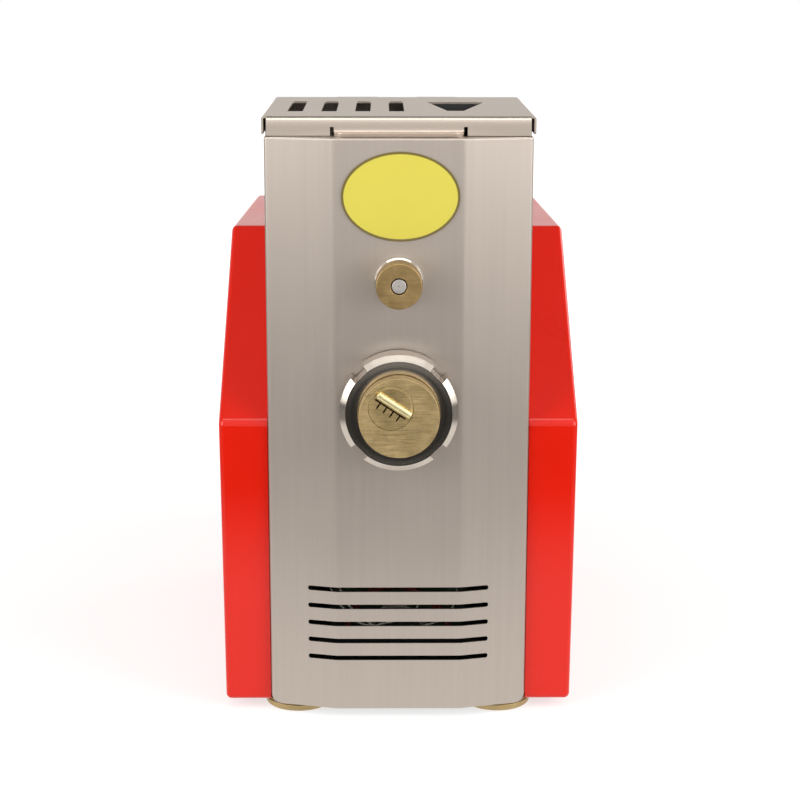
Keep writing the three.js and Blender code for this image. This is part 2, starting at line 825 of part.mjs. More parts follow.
function makeHinge() {
  const bottom = hingeZ - hingeLeafHeight;
  const leafSpan = [towerBack + gap, towerBack + gap + sheet];
  const clear = hingeZ - hingeRadius - 2 * gap;
  const knuckles = knuckleSpans(0).map((span) =>
    join(rodAlongX(hingeRadius, span, hingeY, hingeZ), block(span, leafSpan, [bottom, hingeZ])),
  );
  const leaf = cut(
    join(block([-hingeHalf, hingeHalf], leafSpan, [bottom, clear]), ...knuckles),
    rodAlongX(hingePinRadius + gap, [-hingeHalf - overrun, hingeHalf + overrun], hingeY, hingeZ),
  );
  place("hinge_leaf", steel, leaf);
  place("hinge_pin", polished, rodAlongX(hingePinRadius, [-hingeHalf - gap, hingeHalf + gap], hingeY, hingeZ));
}

// The hopper's section: straight sides down to an arc about the paddle's axis
function hopperSection(radius, rimHalf, rim) {
  const rise = rim - paddleZ;
  const tangent = Math.atan2(rise, rimHalf) - Math.acos(radius / Math.hypot(rise, rimHalf));
  const sweep = Math.PI + 2 * tangent;
  const steps = roundSides / 2;
  const arc = Array.from({ length: steps + 1 }, (_, i) => {
    const angle = tangent - (sweep * i) / steps;
    return [radius * Math.cos(angle), paddleZ + radius * Math.sin(angle)];
  });
  return [[rimHalf, rim], ...arc, [-rimHalf, rim]];
}

function makeHopper() {
  const span = [hopperFront, hopperBack];
  const inside = [hopperFront + hopperWall, hopperBack - hopperWall];
  const innerRim = hopperRimHalf - hopperWall;
  const aboveRim = block([-innerRim, innerRim], inside, [hopperRim - gap, hopperRim + overrun]);
  const rims = [-1, 1].map((side) => {
    const ends = [side * (innerRim + hopperWall / 2), side * (innerHalf - gap)].sort((a, b) => a - b);
    return block(ends, [panelReturnEnd + gap, hopperBack], [hopperRim - sheet, hopperRim]);
  });
  const boss = rod(bossRadius, [-bossReach, hopperFront + hopperWall / 2], 0, paddleZ);
  const tub = cut(
    join(alongY(hopperSection(hopperRadius + hopperWall, hopperRimHalf, hopperRim), span), ...rims, boss),
    alongY(hopperSection(hopperRadius, innerRim, hopperRim), inside),
    aboveRim,
    rod(sleeveRadius + gap, [-bossReach - overrun, hopperFront + hopperWall + overrun], 0, paddleZ),
    rod(paddleShaft + runningGap, [hopperBack - hopperWall - overrun, hopperBack + overrun], 0, paddleZ, smallSides),
    throat(0, [augerZ, paddleZ]),
  );
  place("hopper_tub", steel, tub);
}

// The feed throat between hopper and barrel, grown outwards by a wall
function throat(grow, rise) {
  return block([-throatHalf - grow, throatHalf + grow], [throatFront - grow, throatBack + grow], rise);
}

function makeExtruder() {
  const outer = barrelBore + barrelWall;
  const back = bulkheadFront - gap;
  const flange = [sheet + gap, sheet + gap + headFlangeThickness];
  const profile = [
    [barrelBore, -headReach],
    [headRadius, -headReach],
    [headRadius, flange[0]],
    [headFlangeRadius, flange[0]],
    [headFlangeRadius, flange[1]],
    [outer, flange[1]],
    [outer, back],
    [barrelBore, back],
  ];
  const collar = cut(
    throat(throatWall, [augerZ, paddleZ - hopperRadius / 2]),
    rod(barrelBore, [throatFront - 2 * throatWall, throatBack + 2 * throatWall], 0, augerZ),
    rod(hopperRadius + hopperWall + gap, [0, bulkheadFront], 0, paddleZ),
  );
  const barrel = cut(join(turned(profile, 0, augerZ), collar), throat(0, [augerZ, paddleZ]));
  place("barrel", polished, barrel);

  const bearingFront = throatBack + 2 * gap;
  const bearing = [
    [journalRadius + runningGap, bearingFront],
    [barrelBore - gap, bearingFront],
    [barrelBore - gap, back],
    [bearingRadius, back],
    [bearingRadius, bulkheadFront + bulkheadThickness],
    [journalRadius + runningGap, bulkheadFront + bulkheadThickness],
  ];
  place("auger_bearing", brass, turned(bearing, 0, augerZ, trimSides));
  const shaft = turned(
    [
      [0, -augerTip],
      [augerCore / 2, -augerTip],
      [augerCore, 0],
      [augerCore, bearingFront - gap],
      [journalRadius, bearingFront - gap],
      [journalRadius, gearSpan[1] + gap],
      [0, gearSpan[1] + gap],
    ],
    0,
    augerZ,
    smallSides,
  );
  place("auger_screw", polished, join(shaft, augerFlights([0, bearingFront - 2 * gap])));
  place("auger_gear", cast, gear(augerTeeth, journalRadius, augerZ, Math.PI / 2));
}

// The screw's flight: a flat-sided thread swept round the core
function augerFlights([from, to]) {
  const travel = to - from - augerFlight;
  const turns = travel / augerPitch;
  const steps = Math.round(turns * smallSides);
  const inner = augerCore - sheet;
  const outer = barrelBore - runningGap;
  const rings = Array.from({ length: steps + 1 }, (_, i) => {
    const angle = (2 * Math.PI * turns * i) / steps;
    const y = from + (travel * i) / steps;
    const point = (radius, along) => [radius * Math.sin(angle), along, augerZ + radius * Math.cos(angle)];
    return [point(inner, y), point(outer, y), point(outer, y + augerFlight), point(inner, y + augerFlight)];
  });
  return loft(rings);
}

// An involute spur gear on a shaft, with one tooth centred on the given angle
function gear(teeth, shaftRadius, z, toothAngle, span = gearSpan) {
  const pitchRadius = (gearModule * teeth) / 2;
  const baseRadius = pitchRadius * Math.cos(radians(pressureAngle));
  const tipRadius = pitchRadius + gearModule;
  const rootRadius = pitchRadius - dedendumShare * gearModule;
  const involute = (radius) => {
    const roll = Math.acos(Math.min(1, baseRadius / radius));
    return Math.tan(roll) - roll;
  };
  const atPitch = ((Math.PI * gearModule) / 2 - backlash) / (2 * pitchRadius) + involute(pitchRadius);
  const flank = Array.from({ length: flankSteps + 1 }, (_, i) => {
    const radius = baseRadius + ((tipRadius - baseRadius) * i) / flankSteps;
    return { radius, half: atPitch - involute(radius) };
  });
  flank.unshift({ radius: Math.min(rootRadius, baseRadius - gap), half: flank[0].half });
  const outline = [];
  for (let tooth = 0; tooth < teeth; tooth += 1) {
    const centre = toothAngle + (2 * Math.PI * tooth) / teeth;
    const point = (radius, angle) => [radius * Math.cos(angle), z + radius * Math.sin(angle)];
    flank.forEach(({ radius, half }) => outline.push(point(radius, centre - half)));
    [...flank].reverse().forEach(({ radius, half }) => outline.push(point(radius, centre + half)));
  }
  const bore = rod(shaftRadius + gap, [span[0] - overrun, span[1] + overrun], 0, z, smallSides);
  return cut(alongY(outline, span), bore);
}

function makeDie() {
  const flangeBack = -headReach - gap;
  const lipBack = -nutFaceReach + nutLip;
  const flangeFront = lipBack + gap;
  const spigotEnd = -headReach + augerTip / 4;
  const bore = insertRadius - insertLedge;
  const insertBack = -dieReach + insertDepth;
  const profile = [
    [0, -dieReach],
    [dieRadius, -dieReach],
    [dieRadius, flangeFront],
    [dieFlangeRadius, flangeFront],
    [dieFlangeRadius, flangeBack],
    [barrelBore - runningGap, flangeBack],
    [barrelBore - runningGap, spigotEnd],
    [0, spigotEnd],
  ];
  const insertZ = augerZ + insertRise;
  const pocket = rod(insertRadius + gap, [-dieReach - overrun, insertBack + gap], insertX, insertZ);
  const feed = rod(bore, [-dieReach - overrun, overrun], insertX, insertZ);
  place("die_disc", brass, cut(turned(profile, 0, augerZ), pocket, feed));

  // The insert is drawn level about its own centre, then turned to the angle of its bar
  const disc = rod(insertRadius, [-dieReach, insertBack], 0, 0);
  const barRadius = barWidth / 2;
  const bar = alongX(
    circle(barRadius, -dieReach, barOffset, smallSides),
    [barShift - barLength / 2, barShift + barLength / 2],
  );
  const barInDisc = rod(insertRadius - gap, [-dieReach - 2 * barRadius, insertBack], 0, 0);
  const recess = rod(insertRadius - recessRim, [-dieReach - overrun, -dieReach + recessDepth], 0, 0).intersect(
    block([-insertRadius, insertRadius], [-dieReach - overrun, -dieReach + overrun], [barOffset, insertRadius]),
  );
  const through = [-dieReach - overrun, insertBack + overrun];
  const slitZ = -slitOffset;
  const slit = block([-slitLength / 2, slitLength / 2], through, [slitZ - slitWidth / 2, slitZ + slitWidth / 2]);
  const teeth = Array.from({ length: toothCount }, (_, i) => {
    const x = (i - (toothCount - 1) / 2) * toothPitch;
    return block([x - slitWidth / 2, x + slitWidth / 2], through, [slitZ - toothLength, slitZ]);
  });
  const level = cut(join(cut(disc, recess), bar.intersect(barInDisc)), slit, ...teeth);
  const turnedInsert = level.rotate([0, barTurn, 0]);
  place("die_insert", brass, shift(turnedInsert, insertX, 0, insertZ));

  const nutBore = headRadius + runningGap;
  const nut = turned(
    [
      [dieRadius + gap, -nutFaceReach],
      [nutShoulder, -nutFaceReach],
      [nutRadius, -nutRim],
      [nutRadius, -nutBack],
      [nutBore, -nutBack],
      [nutBore, lipBack],
      [dieRadius + gap, lipBack],
    ],
    0,
    augerZ,
    nutSides,
  );
  const notch = block(
    [nutNotchRadius, nutRadius + overrun],
    [-nutFaceReach - overrun, overrun],
    [-nutNotchWidth / 2, nutNotchWidth / 2],
  );
  const notches = Array.from({ length: nutNotchCount }, (_, i) =>
    shift(notch.rotate([0, (360 * (i + 1 / 2)) / nutNotchCount, 0]), 0, 0, augerZ),
  );
  place("ring_nut", polished, cut(nut, ...notches));
}

function makePaddle() {
  const rear = gearSpan[1] + gap;
  const hubSpan = [hopperFront + 4 * hopperWall, hopperBack - 4 * hopperWall];
  const shaft = rod(paddleShaft, [-knobReach + gap, rear], 0, 0, smallSides);
  const hub = rod(paddleHub, hubSpan, 0, 0, smallSides);
  const room = hubSpan[1] - hubSpan[0] - 2 * paddleArmDepth;
  const arms = Array.from({ length: paddleArms }, (_, i) => {
    const y = hubSpan[0] + paddleArmDepth + (room * i) / (paddleArms - 1);
    const depth = [y - paddleArmDepth / 2, y + paddleArmDepth / 2];
    const arm = join(
      block([-paddleArmWidth / 2, paddleArmWidth / 2], depth, [0, paddleReach]),
      block([-paddleBladeWidth / 2, paddleBladeWidth / 2], depth, [paddleReach - paddleBladeThickness, paddleReach]),
    );
    return arm.rotate([0, (360 * i) / paddleArms, 0]);
  });
  place("mixing_paddle", polished, shift(join(shaft, hub, ...arms), 0, 0, paddleZ));
  const gapDown = -Math.PI / 2 + Math.PI / paddleTeeth;
  place("paddle_gear", cast, gear(paddleTeeth, paddleShaft, paddleZ, gapDown));
  const bearing = turned(
    [
      [paddleShaft + runningGap, hopperBack + gap],
      [bearingRadius, hopperBack + gap],
      [bearingRadius, bulkheadFront - gap],
      [paddleBearingRadius, bulkheadFront - gap],
      [paddleBearingRadius, bulkheadFront + bulkheadThickness],
      [paddleShaft + runningGap, bulkheadFront + bulkheadThickness],
    ],
    0,
    paddleZ,
    smallSides,
  );
  place("paddle_bearing", brass, bearing);
}

function makeKnob() {
  const collar = turned(
    [
      [bossRadius + gap, -gap - collarThickness],
      [collarRadius - collarEdge, -gap - collarThickness],
      [collarRadius, -gap - collarThickness + collarEdge],
      [collarRadius, -gap],
      [bossRadius + gap, -gap],
    ],
    0,
    paddleZ,
  );
  place("knob_collar", polished, collar);
  const wallBack = -knobReach + knobWall;
  const back = -2 * gap - collarThickness;
  const knob = turned(
    [
      [paddleShaft + 3 * gap, -knobReach],
      [knobRadius - gap, -knobReach],
      [knobRadius, -knobReach + gap],
      [knobRadius, back],
      [bossRadius + runningGap, back],
      [bossRadius + runningGap, wallBack],
      [paddleShaft + 3 * gap, wallBack],
    ],
    0,
    paddleZ,
  );
  place("brass_knob", brass, knob);
  const flangeFront = wallBack + gap;
  const flangeBack = flangeFront + sleeveFlange;
  const sleeve = turned(
    [
      [paddleShaft + runningGap, flangeFront],
      [bossRadius, flangeFront],
      [bossRadius, flangeBack],
      [sleeveRadius, flangeBack],
      [sleeveRadius, hopperFront - overrun],
      [paddleShaft + runningGap, hopperFront - overrun],
    ],
    0,
    paddleZ,
    smallSides,
  );
  place("bearing_sleeve", brass, sleeve);
}

function makeMotor() {
  const gearboxBack = gearboxFront + gearboxLength;
  const shaftEnd = gearboxFront + gearboxLength / 2;
  const face = rectangle([-gearboxHalf, gearboxHalf], [pinionZ - gearboxHalf, pinionZ + gearboxHalf]);
  const corner = gearboxHalf / 5;
  const gearbox = cut(
    alongY(roundedOutline(face, [corner, corner, corner, corner]), [gearboxFront, gearboxBack]),
    rod(pinionShaft + runningGap, [gearboxFront - overrun, shaftEnd + gap], 0, pinionZ, smallSides),
  );
  place("gearbox_casing", cast, gearbox);
  const gapUp = Math.PI / 2 + Math.PI / pinionTeeth;
  const shaft = rod(pinionShaft, [gearFront - gap, shaftEnd], 0, pinionZ, smallSides);
  const pinion = join(gear(pinionTeeth, 0, pinionZ, gapUp), shaft);
  place("motor_pinion", polished, pinion);

  const finPitch = (motorBack - motorFront) / (motorFinCount + 1);
  const finned = [[0, motorFront], [motorRadius, motorFront]];
  for (let i = 1; i <= motorFinCount; i += 1) {
    const y = motorFront + i * finPitch;
    const slotHalf = finPitch / 4;
    finned.push([motorRadius, y - slotHalf], [motorRadius - motorFinDepth, y - slotHalf]);
    finned.push([motorRadius - motorFinDepth, y + slotHalf], [motorRadius, y + slotHalf]);
  }
  finned.push([motorRadius, motorBack], [0, motorBack]);
  place("motor_can", darkPaint, turned(finned, 0, pinionZ, trimSides));

  const coverSpan = [motorBack + gap, motorBack + gap + fanCoverLength];
  const coverRadius = motorRadius - motorFinDepth / 2;
  const ringHoles = Array.from({ length: fanHoleCount }, (_, i) => {
    const angle = (2 * Math.PI * i) / fanHoleCount;
    const radius = coverRadius / 2;
    return rod(
      coverRadius / 6,
      [coverSpan[0] - overrun, coverSpan[1] + overrun],
      radius * Math.cos(angle),
      pinionZ + radius * Math.sin(angle),
      smallSides / 2,
    );
  });
  const cover = cut(
    rod(coverRadius, coverSpan, 0, pinionZ, trimSides),
    rod(coverRadius - plateGauge, [coverSpan[0] - overrun, coverSpan[1] - plateGauge], 0, pinionZ, trimSides),
    ...ringHoles,
  );
  place("fan_cover", blackPlastic, cover);

  const bracketBottom = baseTop + gap;
  const webs = [motorFront + finPitch, motorBack - finPitch].map((y) => {
    const web = [[-bracketHalf, bracketBottom], [bracketHalf, bracketBottom], [bracketHalf, pinionZ], [-bracketHalf, pinionZ]];
    return alongY(web, [y - bracketWeb / 2, y + bracketWeb / 2]);
  });
  const bracket = cut(
    join(
      block(
        [-bracketHalf, bracketHalf],
        [motorFront + finPitch - bracketWeb / 2, motorBack - finPitch + bracketWeb / 2],
        [bracketBottom, bracketBottom + bracketWeb],
      ),
      ...webs,
    ),
    rod(motorRadius + gap, [motorFront - overrun, motorBack + overrun], 0, pinionZ, trimSides),
  );
  place("motor_bracket", cast, bracket);
  const capacitor = rod(
    capacitorRadius,
    [motorFront, motorFront + capacitorLength],
    capacitorX,
    baseTop + gap + capacitorRadius,
    trimSides,
  );
  place("capacitor", whitePlastic, capacitor);
  const lowest = baseTop + gap;
  const terminalX = -capacitorX;
  const terminalPitch = (2 * terminalHalf) / (terminalCount + 1);
  const terminalCutters = Array.from({ length: terminalCount }, (_, i) => {
    const y = motorFront + (i + 1) * terminalPitch;
    return block(
      [terminalX - terminalWidth / 4, terminalX + terminalWidth / 4],
      [y - terminalPitch / 4, y + terminalPitch / 4],
      [lowest + terminalHeight / 2, lowest + terminalHeight + overrun],
    );
  });
  const terminal = cut(
    block(
      [terminalX - terminalWidth / 2, terminalX + terminalWidth / 2],
      [motorFront, motorFront + 2 * terminalHalf],
      [lowest, lowest + terminalHeight],
    ),
    ...terminalCutters,
  );
  place("terminal_block", whitePlastic, terminal);
}

function makeElectronics() {
  const low = baseTop + gap;
  const boxTop = low + controlBoxHeight;
  const boxBack = controlBoxFront + controlBoxLength;
  const box = block([-controlBoxHalf, controlBoxHalf], [controlBoxFront, boxBack], [low, boxTop]);
  place("control_box", blackPlastic, box);
  const boardY = controlBoxFront + boardSetback;
  const boardLow = boxTop + gap;
  const boardHalf = controlBoxHalf - componentReach;
  const parts = boardPartShares.map((share) => {
    const x = share * boardHalf;
    const half = boardHalf / 8;
    const z = boardLow + boardHeight / 2 + (share * boardHeight) / 3;
    return block([x - half, x + half], [boardY - componentReach, boardY + boardGauge / 2], [z - half, z + half]);
  });
  const board = block([-boardHalf, boardHalf], [boardY, boardY + boardGauge], [boardLow, boardLow + boardHeight]);
  place("circuit_board", greenBoard, join(board, ...parts));
  loom("wiring_loom_red", redPaint, 1);
  loom("wiring_loom_white", whitePlastic, 0);
}

// A bundle of wires that arches over the control box behind the vents, from one end to the other
function loom(name, look, row) {
  const low = baseTop + gap + controlBoxHeight + gap;
  const spread = controlBoxHalf * loomSpreadShares[row];
  const y = controlBoxFront + loomRadius + gap + row * (2 * loomRadius + gap);
  const rise = boardHeight * loomRiseShares[row];
  const points = loomPathShares.map(
    ([across, up]) => new THREE.Vector3(across * spread, y, low + up * rise),
  );
  const path = new THREE.CatmullRomCurve3(points, false, "centripetal");
  const section = new THREE.Shape(circle(loomRadius, 0, 0, smallSides / 2).map(([u, v]) => new THREE.Vector2(u, v)));
  const wires = new THREE.ExtrudeGeometry(section, { steps: 2 * smallSides, bevelEnabled: false, extrudePath: path });
  const slab = block(
    [-controlBoxHalf, controlBoxHalf],
    [y - 2 * loomRadius, y + 2 * loomRadius],
    [low, low + boardHeight],
  );
  place(name, look, solidOf(wires).intersect(slab));
}

function makeControls() {
  const face = bodyLength + gap;
  const dialBack = face + dialThickness;
  place(
    "selector_dial",
    blackPlastic,
    tube(dialRadius, selectorShaft + runningGap, [face, dialBack], controlPitch, controlsZ, trimSides),
  );
  const pointer = block(
    [controlPitch - selectorShaft / 2, controlPitch + selectorShaft / 2],
    [dialBack + gap + selectorReach / 4, rearReach],
    [controlsZ, controlsZ + selectorRadius],
  );
  const grip = turned(
    [
      [0, bodyLength - 2 * selectorShaft],
      [selectorShaft, bodyLength - 2 * selectorShaft],
      [selectorShaft, dialBack + gap],
      [selectorRadius, dialBack + gap],
      [selectorRadius * selectorTaperShare, rearReach - gap],
      [0, rearReach - gap],
    ],
    controlPitch,
    controlsZ,
    trimSides,
  );
  place("selector_knob", blackPlastic, join(grip, pointer));
  const button = (name, look, x, reach) => {
    place(
      `${name}_bezel`,
      polished,
      tube(bezelRadius, buttonRadius + runningGap, [face, face + bezelHeight], x, controlsZ, trimSides),
    );
    const inner = bodyLength - sheet - runningGap;
    const cap = turned(
      [
        [0, inner - 2 * buttonFlange],
        [buttonRadius + buttonFlange, inner - 2 * buttonFlange],
        [buttonRadius + buttonFlange, inner],
        [buttonRadius, inner],
        [buttonRadius, bodyLength + reach - gap],
        [buttonRadius - gap, bodyLength + reach],
        [0, bodyLength + reach],
      ],
      x,
      controlsZ,
      trimSides,
    );
    place(`${name}_button`, look, cap);
  };
  button("start", greenPlastic, 0, buttonReach);
  button("stop", redPaint, -controlPitch, buttonReach + gap);

  const back = bodyLength - inletDepth;
  const outerHalf = [inletWidth / 2, inletHeight / 2];
  const innerHalfWidth = outerHalf[0] - inletWall;
  const innerHalfHeight = outerHalf[1] - inletWall;
  const flangeSpan = [face, face + inletFlange];
  const body = join(
    block([-outerHalf[0], outerHalf[0]], [back, flangeSpan[1]], [-outerHalf[1], outerHalf[1]]),
    block([-outerHalf[0] - inletEar, outerHalf[0] + inletEar], flangeSpan, [-outerHalf[1] - inletWall, outerHalf[1] + inletWall]),
  );
  const cavity = block(
    [-innerHalfWidth, innerHalfWidth],
    [back + inletWall, flangeSpan[1] + overrun],
    [-innerHalfHeight, innerHalfHeight],
  );
  const pins = [[-1, -1], [0, 1], [1, -1]].map(([across, up]) => {
    const x = across * inletPinPitch;
    const z = up * inletPinRise;
    const half = inletWall / 3;
    return block([x - half, x + half], [back + inletWall / 2, bodyLength - 2 * inletWall], [z - 2 * half, z + 2 * half]);
  });
  place("inlet_socket", blackPlastic, shift(join(cut(body, cavity), ...pins), inletX, 0, inletZ));
}

function makeLidSensor() {
  const front = sheet + gap;
  const top = panelTop - sheet - gap;
  const sensor = block([-sensorHalf, sensorHalf], [front, front + sensorDepth], [top - sensorHeight, top]);
  place("lid_sensor", blackPlastic, sensor);
}

makeBase();
makeFrontPanel();
makeTower();
makeSideCover("left", -1);
makeSideCover("right", 1);
makeRearHousing();
makeLid();
makeHinge();
makeHopper();
makeExtruder();
makeDie();
makePaddle();
makeKnob();
makeMotor();
makeElectronics();
makeControls();
makeLidSensor();

export default pastaMaker;
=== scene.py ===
from contextlib import contextmanager
from math import atan2, cos, pi, radians, sin, sqrt, tan

import bmesh
import bpy
from mathutils import Matrix, Vector


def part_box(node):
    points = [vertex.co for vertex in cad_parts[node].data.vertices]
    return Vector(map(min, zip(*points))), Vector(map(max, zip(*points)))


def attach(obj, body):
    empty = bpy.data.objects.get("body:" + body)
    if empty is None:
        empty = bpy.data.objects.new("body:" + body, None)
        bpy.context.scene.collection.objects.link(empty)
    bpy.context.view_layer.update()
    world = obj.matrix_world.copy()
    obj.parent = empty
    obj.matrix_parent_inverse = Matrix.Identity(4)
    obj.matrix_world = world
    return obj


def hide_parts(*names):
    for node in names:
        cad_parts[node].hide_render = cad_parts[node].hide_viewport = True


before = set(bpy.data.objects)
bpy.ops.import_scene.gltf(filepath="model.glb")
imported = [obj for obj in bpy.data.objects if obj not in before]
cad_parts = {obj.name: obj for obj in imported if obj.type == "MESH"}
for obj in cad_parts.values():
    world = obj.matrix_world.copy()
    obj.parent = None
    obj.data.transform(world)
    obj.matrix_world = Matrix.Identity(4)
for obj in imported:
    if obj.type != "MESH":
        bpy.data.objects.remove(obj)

# An electric pasta maker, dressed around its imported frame. Metres, +Z up, the front faces -Y.

MM = 0.001
ORIGIN = Vector((0, 0, 0))
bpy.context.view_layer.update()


# Places and sizes that the frame gives

def span(node, axis):
    low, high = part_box(node)
    return low[axis], high[axis]


def centre(node):
    low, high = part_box(node)
    return (low + high) / 2


FACE, PANEL_RETURN = span("front_panel", 1)
PANEL_BOTTOM, PANEL_TOP = span("front_panel", 2)
PANEL_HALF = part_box("front_panel")[1].x
LID_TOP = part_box("lid_panel")[1].z
LIP_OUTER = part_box("lid_panel")[1].x
COVER_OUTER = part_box("right_side_cover")[1].x
COVER_FRONT, COVER_BACK = span("right_side_cover", 1)
COVER_BOTTOM, COVER_TOP = span("right_side_cover", 2)
TOWER_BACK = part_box("tower_shell")[1].y
NUT = centre("ring_nut")
INSERT = centre("die_insert")
KNOB = centre("brass_knob")
BADGE = centre("badge_plate")


def behind(distance):
    """A place that many millimetres behind the front panel's middle facet"""
    return FACE + distance * MM


def mm(*sizes):
    """Sizes in metres from sizes in millimetres"""
    return [size * MM for size in sizes]


# Places behind the front facet, in millimetres
PANEL_FLANGE_END, PANEL_CUT_END = 18, 20
LID_FRONT = 12.4
SLOT_START, SLOT_END = 59.4, 156.5
POUR_START, POUR_END = 63.8, 148.8
COVER_TOP_FRONT = 178.4
NUT_RIM = -20.7
DIE_FLANGE_FRONT, DIE_FLANGE_BACK = -19.7, -14.3

# Sizes of the finer shapes
SHEET, GAP = mm(1.5, 0.3)
FACET_HALF, FACET_FALL = mm(46.3, 12.7)
CREASE_RADIUS, SIDE_RADIUS, PANEL_CORNER = mm(15, 2.6, 8)
TOP_ROLL, TOP_REACH = mm(1.7, 0.8)
VENT_COUNT = 5
VENT_BOTTOM, VENT_PITCH, VENT_HALF, VENT_HEIGHT = mm(47.4, 13.5, 67.6, 3.6)
HEAD_HOLE, BOSS_HOLE = mm(37, 11)

LID_STRIP, LID_COLUMN, FLANGE_HALF = mm(24, 72, 94.6)
LID_FOLD, SIDE_FOLD, LID_FLANGE = mm(5, 2.4, 13.6)
SIDE_LIP_HEIGHT, SIDE_LIP_HOOK = mm(13, 1.3)
RELIEF_OUTER, RELIEF_TOP = mm(49.1, 6.3)
LIP_ROOT_HALF, LIP_EDGE_HALF, LIP_REACH, LIP_SHELF = mm(46.4, 38, 7.5, 2.9)
LIP_INNER_BEND, LIP_OUTER_BEND = mm(1.7, 0.35)
SLOT_COUNT = 4
SLOT_FIRST, SLOT_PITCH, SLOT_WIDTH, CUT_CORNER = mm(-76, 24.9, 11.2, 1.2)
POUR_FRONT_X, POUR_BACK_X = mm(42.2, 45.4)
POUR_FRONT_HALF, POUR_BACK_HALF = mm(6, 22.4)
HINGE_RADIUS, HINGE_PIN, HINGE_HALF = mm(4, 2.3, 80)
KNUCKLES = 5

COVER_INNER, COVER_BEND, COVER_WALL = mm(97.2, 226, 2)
COVER_LOWER_TAPER, COVER_REAR_TAPER = mm(1.7, 7.3)
COVER_EDGE, COVER_BEND_RADIUS = mm(4.2, 7)
SCREW_HEAD, SCREW_HEIGHT, SCREW_SHANK, SCREW_BOSS = mm(5, 2.4, 2.5, 7)
SOCKET_RADIUS = 1.595 * MM / cos(pi / 6)

NUT_MOUTH, NUT_BORE, NUT_SHOULDER, NUT_LIP = mm(29.3, 36.4, 38.6, 4.3)
NOTCH_HALF, NOTCH_FLOOR, NOTCH_END, NOTCH_CORNER = mm(6.4, 38, 52, 1.2)
DIE_BOSS, DIE_FLANGE, DIE_BACK = mm(29, 34, 24.6)
INSERT_RADIUS, INSERT_DEPTH, INSERT_RAISE = mm(16, 7.3, 1.1)
INSERT_TURN = 33.7
BAR_RADIUS, BAR_HALF, BAR_OFFSET, BAR_SHIFT = mm(3, 14.2, 3.15, 0.8)
SLIT_Z, SLIT_HALF, SLIT_REACH = mm(-0.76, 0.58, 13)
TOOTH_COUNT = 4
TOOTH_PITCH, TOOTH_LENGTH = mm(5.6, 5.2)
KNOB_RADIUS, KNOB_HOLE, KNOB_BORE, KNOB_WALL = mm(16.5, 5.95, 10.4, 6.3)
COLLAR_HOLE, COLLAR_EDGE = mm(10.3, 2)
PIN_RADIUS, PIN_LENGTH = mm(5.12, 30)
BADGE_RIM, BADGE_CHAMFER, BADGE_SINK, BADGE_DOME = mm(1.7, 0.25, 0.22, 0.18)

DIAL_RADIUS, DIAL_HOLE, DIGIT_CIRCLE = mm(22, 4.4, 20)
BEZEL_RADIUS, BEZEL_HOLE, CAP_RADIUS = mm(14, 10.4, 10)
WIRE_RADIUS = 0.8 * MM
# How far a cutter reaches past what it cuts
PAST = 5 * MM


# Outlines: lists of 2-D points

def arc(middle, radius, start, sweep, steps):
    """Points of an arc, its angles in radians"""
    u, v = middle
    angles = [start + sweep * i / steps for i in range(steps + 1)]
    return [Vector((u + radius * cos(a), v + radius * sin(a))) for a in angles]


def quarter_round(radius):
    """How far a rounded edge has drawn in, and how far it is still short, in nine steps"""
    angles = [pi / 2 * i / 8 for i in range(9)]
    return [(radius * (1 - cos(a)), radius * (1 - sin(a))) for a in angles]


def circle(radius, u=0.0, v=0.0, sides=64):
    return arc((u, v), radius, 0, 2 * pi, sides)[:-1]


def rounded(points, radii, steps=6):
    """A line of points with each corner turned into an arc of its radius"""
    count = len(points)
    if not isinstance(radii, (list, tuple)):
        radii = [radii] * count
    made = []
    for i, radius in enumerate(radii):
        here = Vector(points[i])
        if radius <= 0:
            made.append(here)
            continue
        before = (Vector(points[i - 1]) - here).normalized()
        after = (Vector(points[(i + 1) % count]) - here).normalized()
        turn = before.angle(after)
        reach = radius / tan(turn / 2)
        middle = here + (before + after).normalized() * radius / sin(turn / 2)
        first = here + before * reach - middle
        last = here + after * reach - middle
        start = atan2(first.y, first.x)
        sweep = (atan2(last.y, last.x) - start + pi) % (2 * pi) - pi
        made.extend(arc(middle, radius, start, sweep, steps))
    return made


def box_outline(u0, u1, v0, v1):
    return [(u0, v0), (u1, v0), (u1, v1), (u0, v1)]


# Meshes

def added(name, data):
    """A new object in the scene"""
    made = bpy.data.objects.new(name, data)
    bpy.context.scene.collection.objects.link(made)
    return made


@contextmanager
def reworked(mesh):
    """A mesh's working copy, which is written back at the end"""
    work = bmesh.new()
    work.from_mesh(mesh)
    yield work
    work.to_mesh(mesh)
    work.free()


def mesh_object(verts, faces):
    mesh = bpy.data.meshes.new("shape")
    mesh.from_pydata([tuple(v) for v in verts], [], faces)
    made = added("shape", mesh)
    tidy_mesh(made)
    return made


def tidy_mesh(obj, merge=2e-7):
    """Merges touching points and turns every face out"""
    with reworked(obj.data) as work:
        bmesh.ops.remove_doubles(work, verts=work.verts, dist=merge)
        bmesh.ops.dissolve_degenerate(work, edges=work.edges, dist=merge)
        bmesh.ops.recalc_face_normals(work, faces=work.faces)


def strip(lines, closed_along=False, closed_across=False):
    """Quads between lines of 3-D points with equal counts"""
    count = len(lines[0])
    verts = [point for line in lines for point in line]
    faces = []
    for i in range(len(lines) if closed_along else len(lines) - 1):
        k = (i + 1) % len(lines)
        for j in range(count if closed_across else count - 1):
            m = (j + 1) % count
            faces.append((i * count + j, i * count + m, k * count + m, k * count + j))
    return verts, faces


def lathe(profile, middle, sides):
    """A closed profile of (radius, y) turned about a line along Y"""
    on_axis = profile[0][0] == 0 and profile[-1][0] == 0
    lines = []
    for a in (2 * pi * i / sides for i in range(sides)):
        lines.append([(middle.x + r * cos(a), y, middle.z + r * sin(a)) for r, y in profile])
    return mesh_object(*strip(lines, closed_along=True, closed_across=not on_axis))


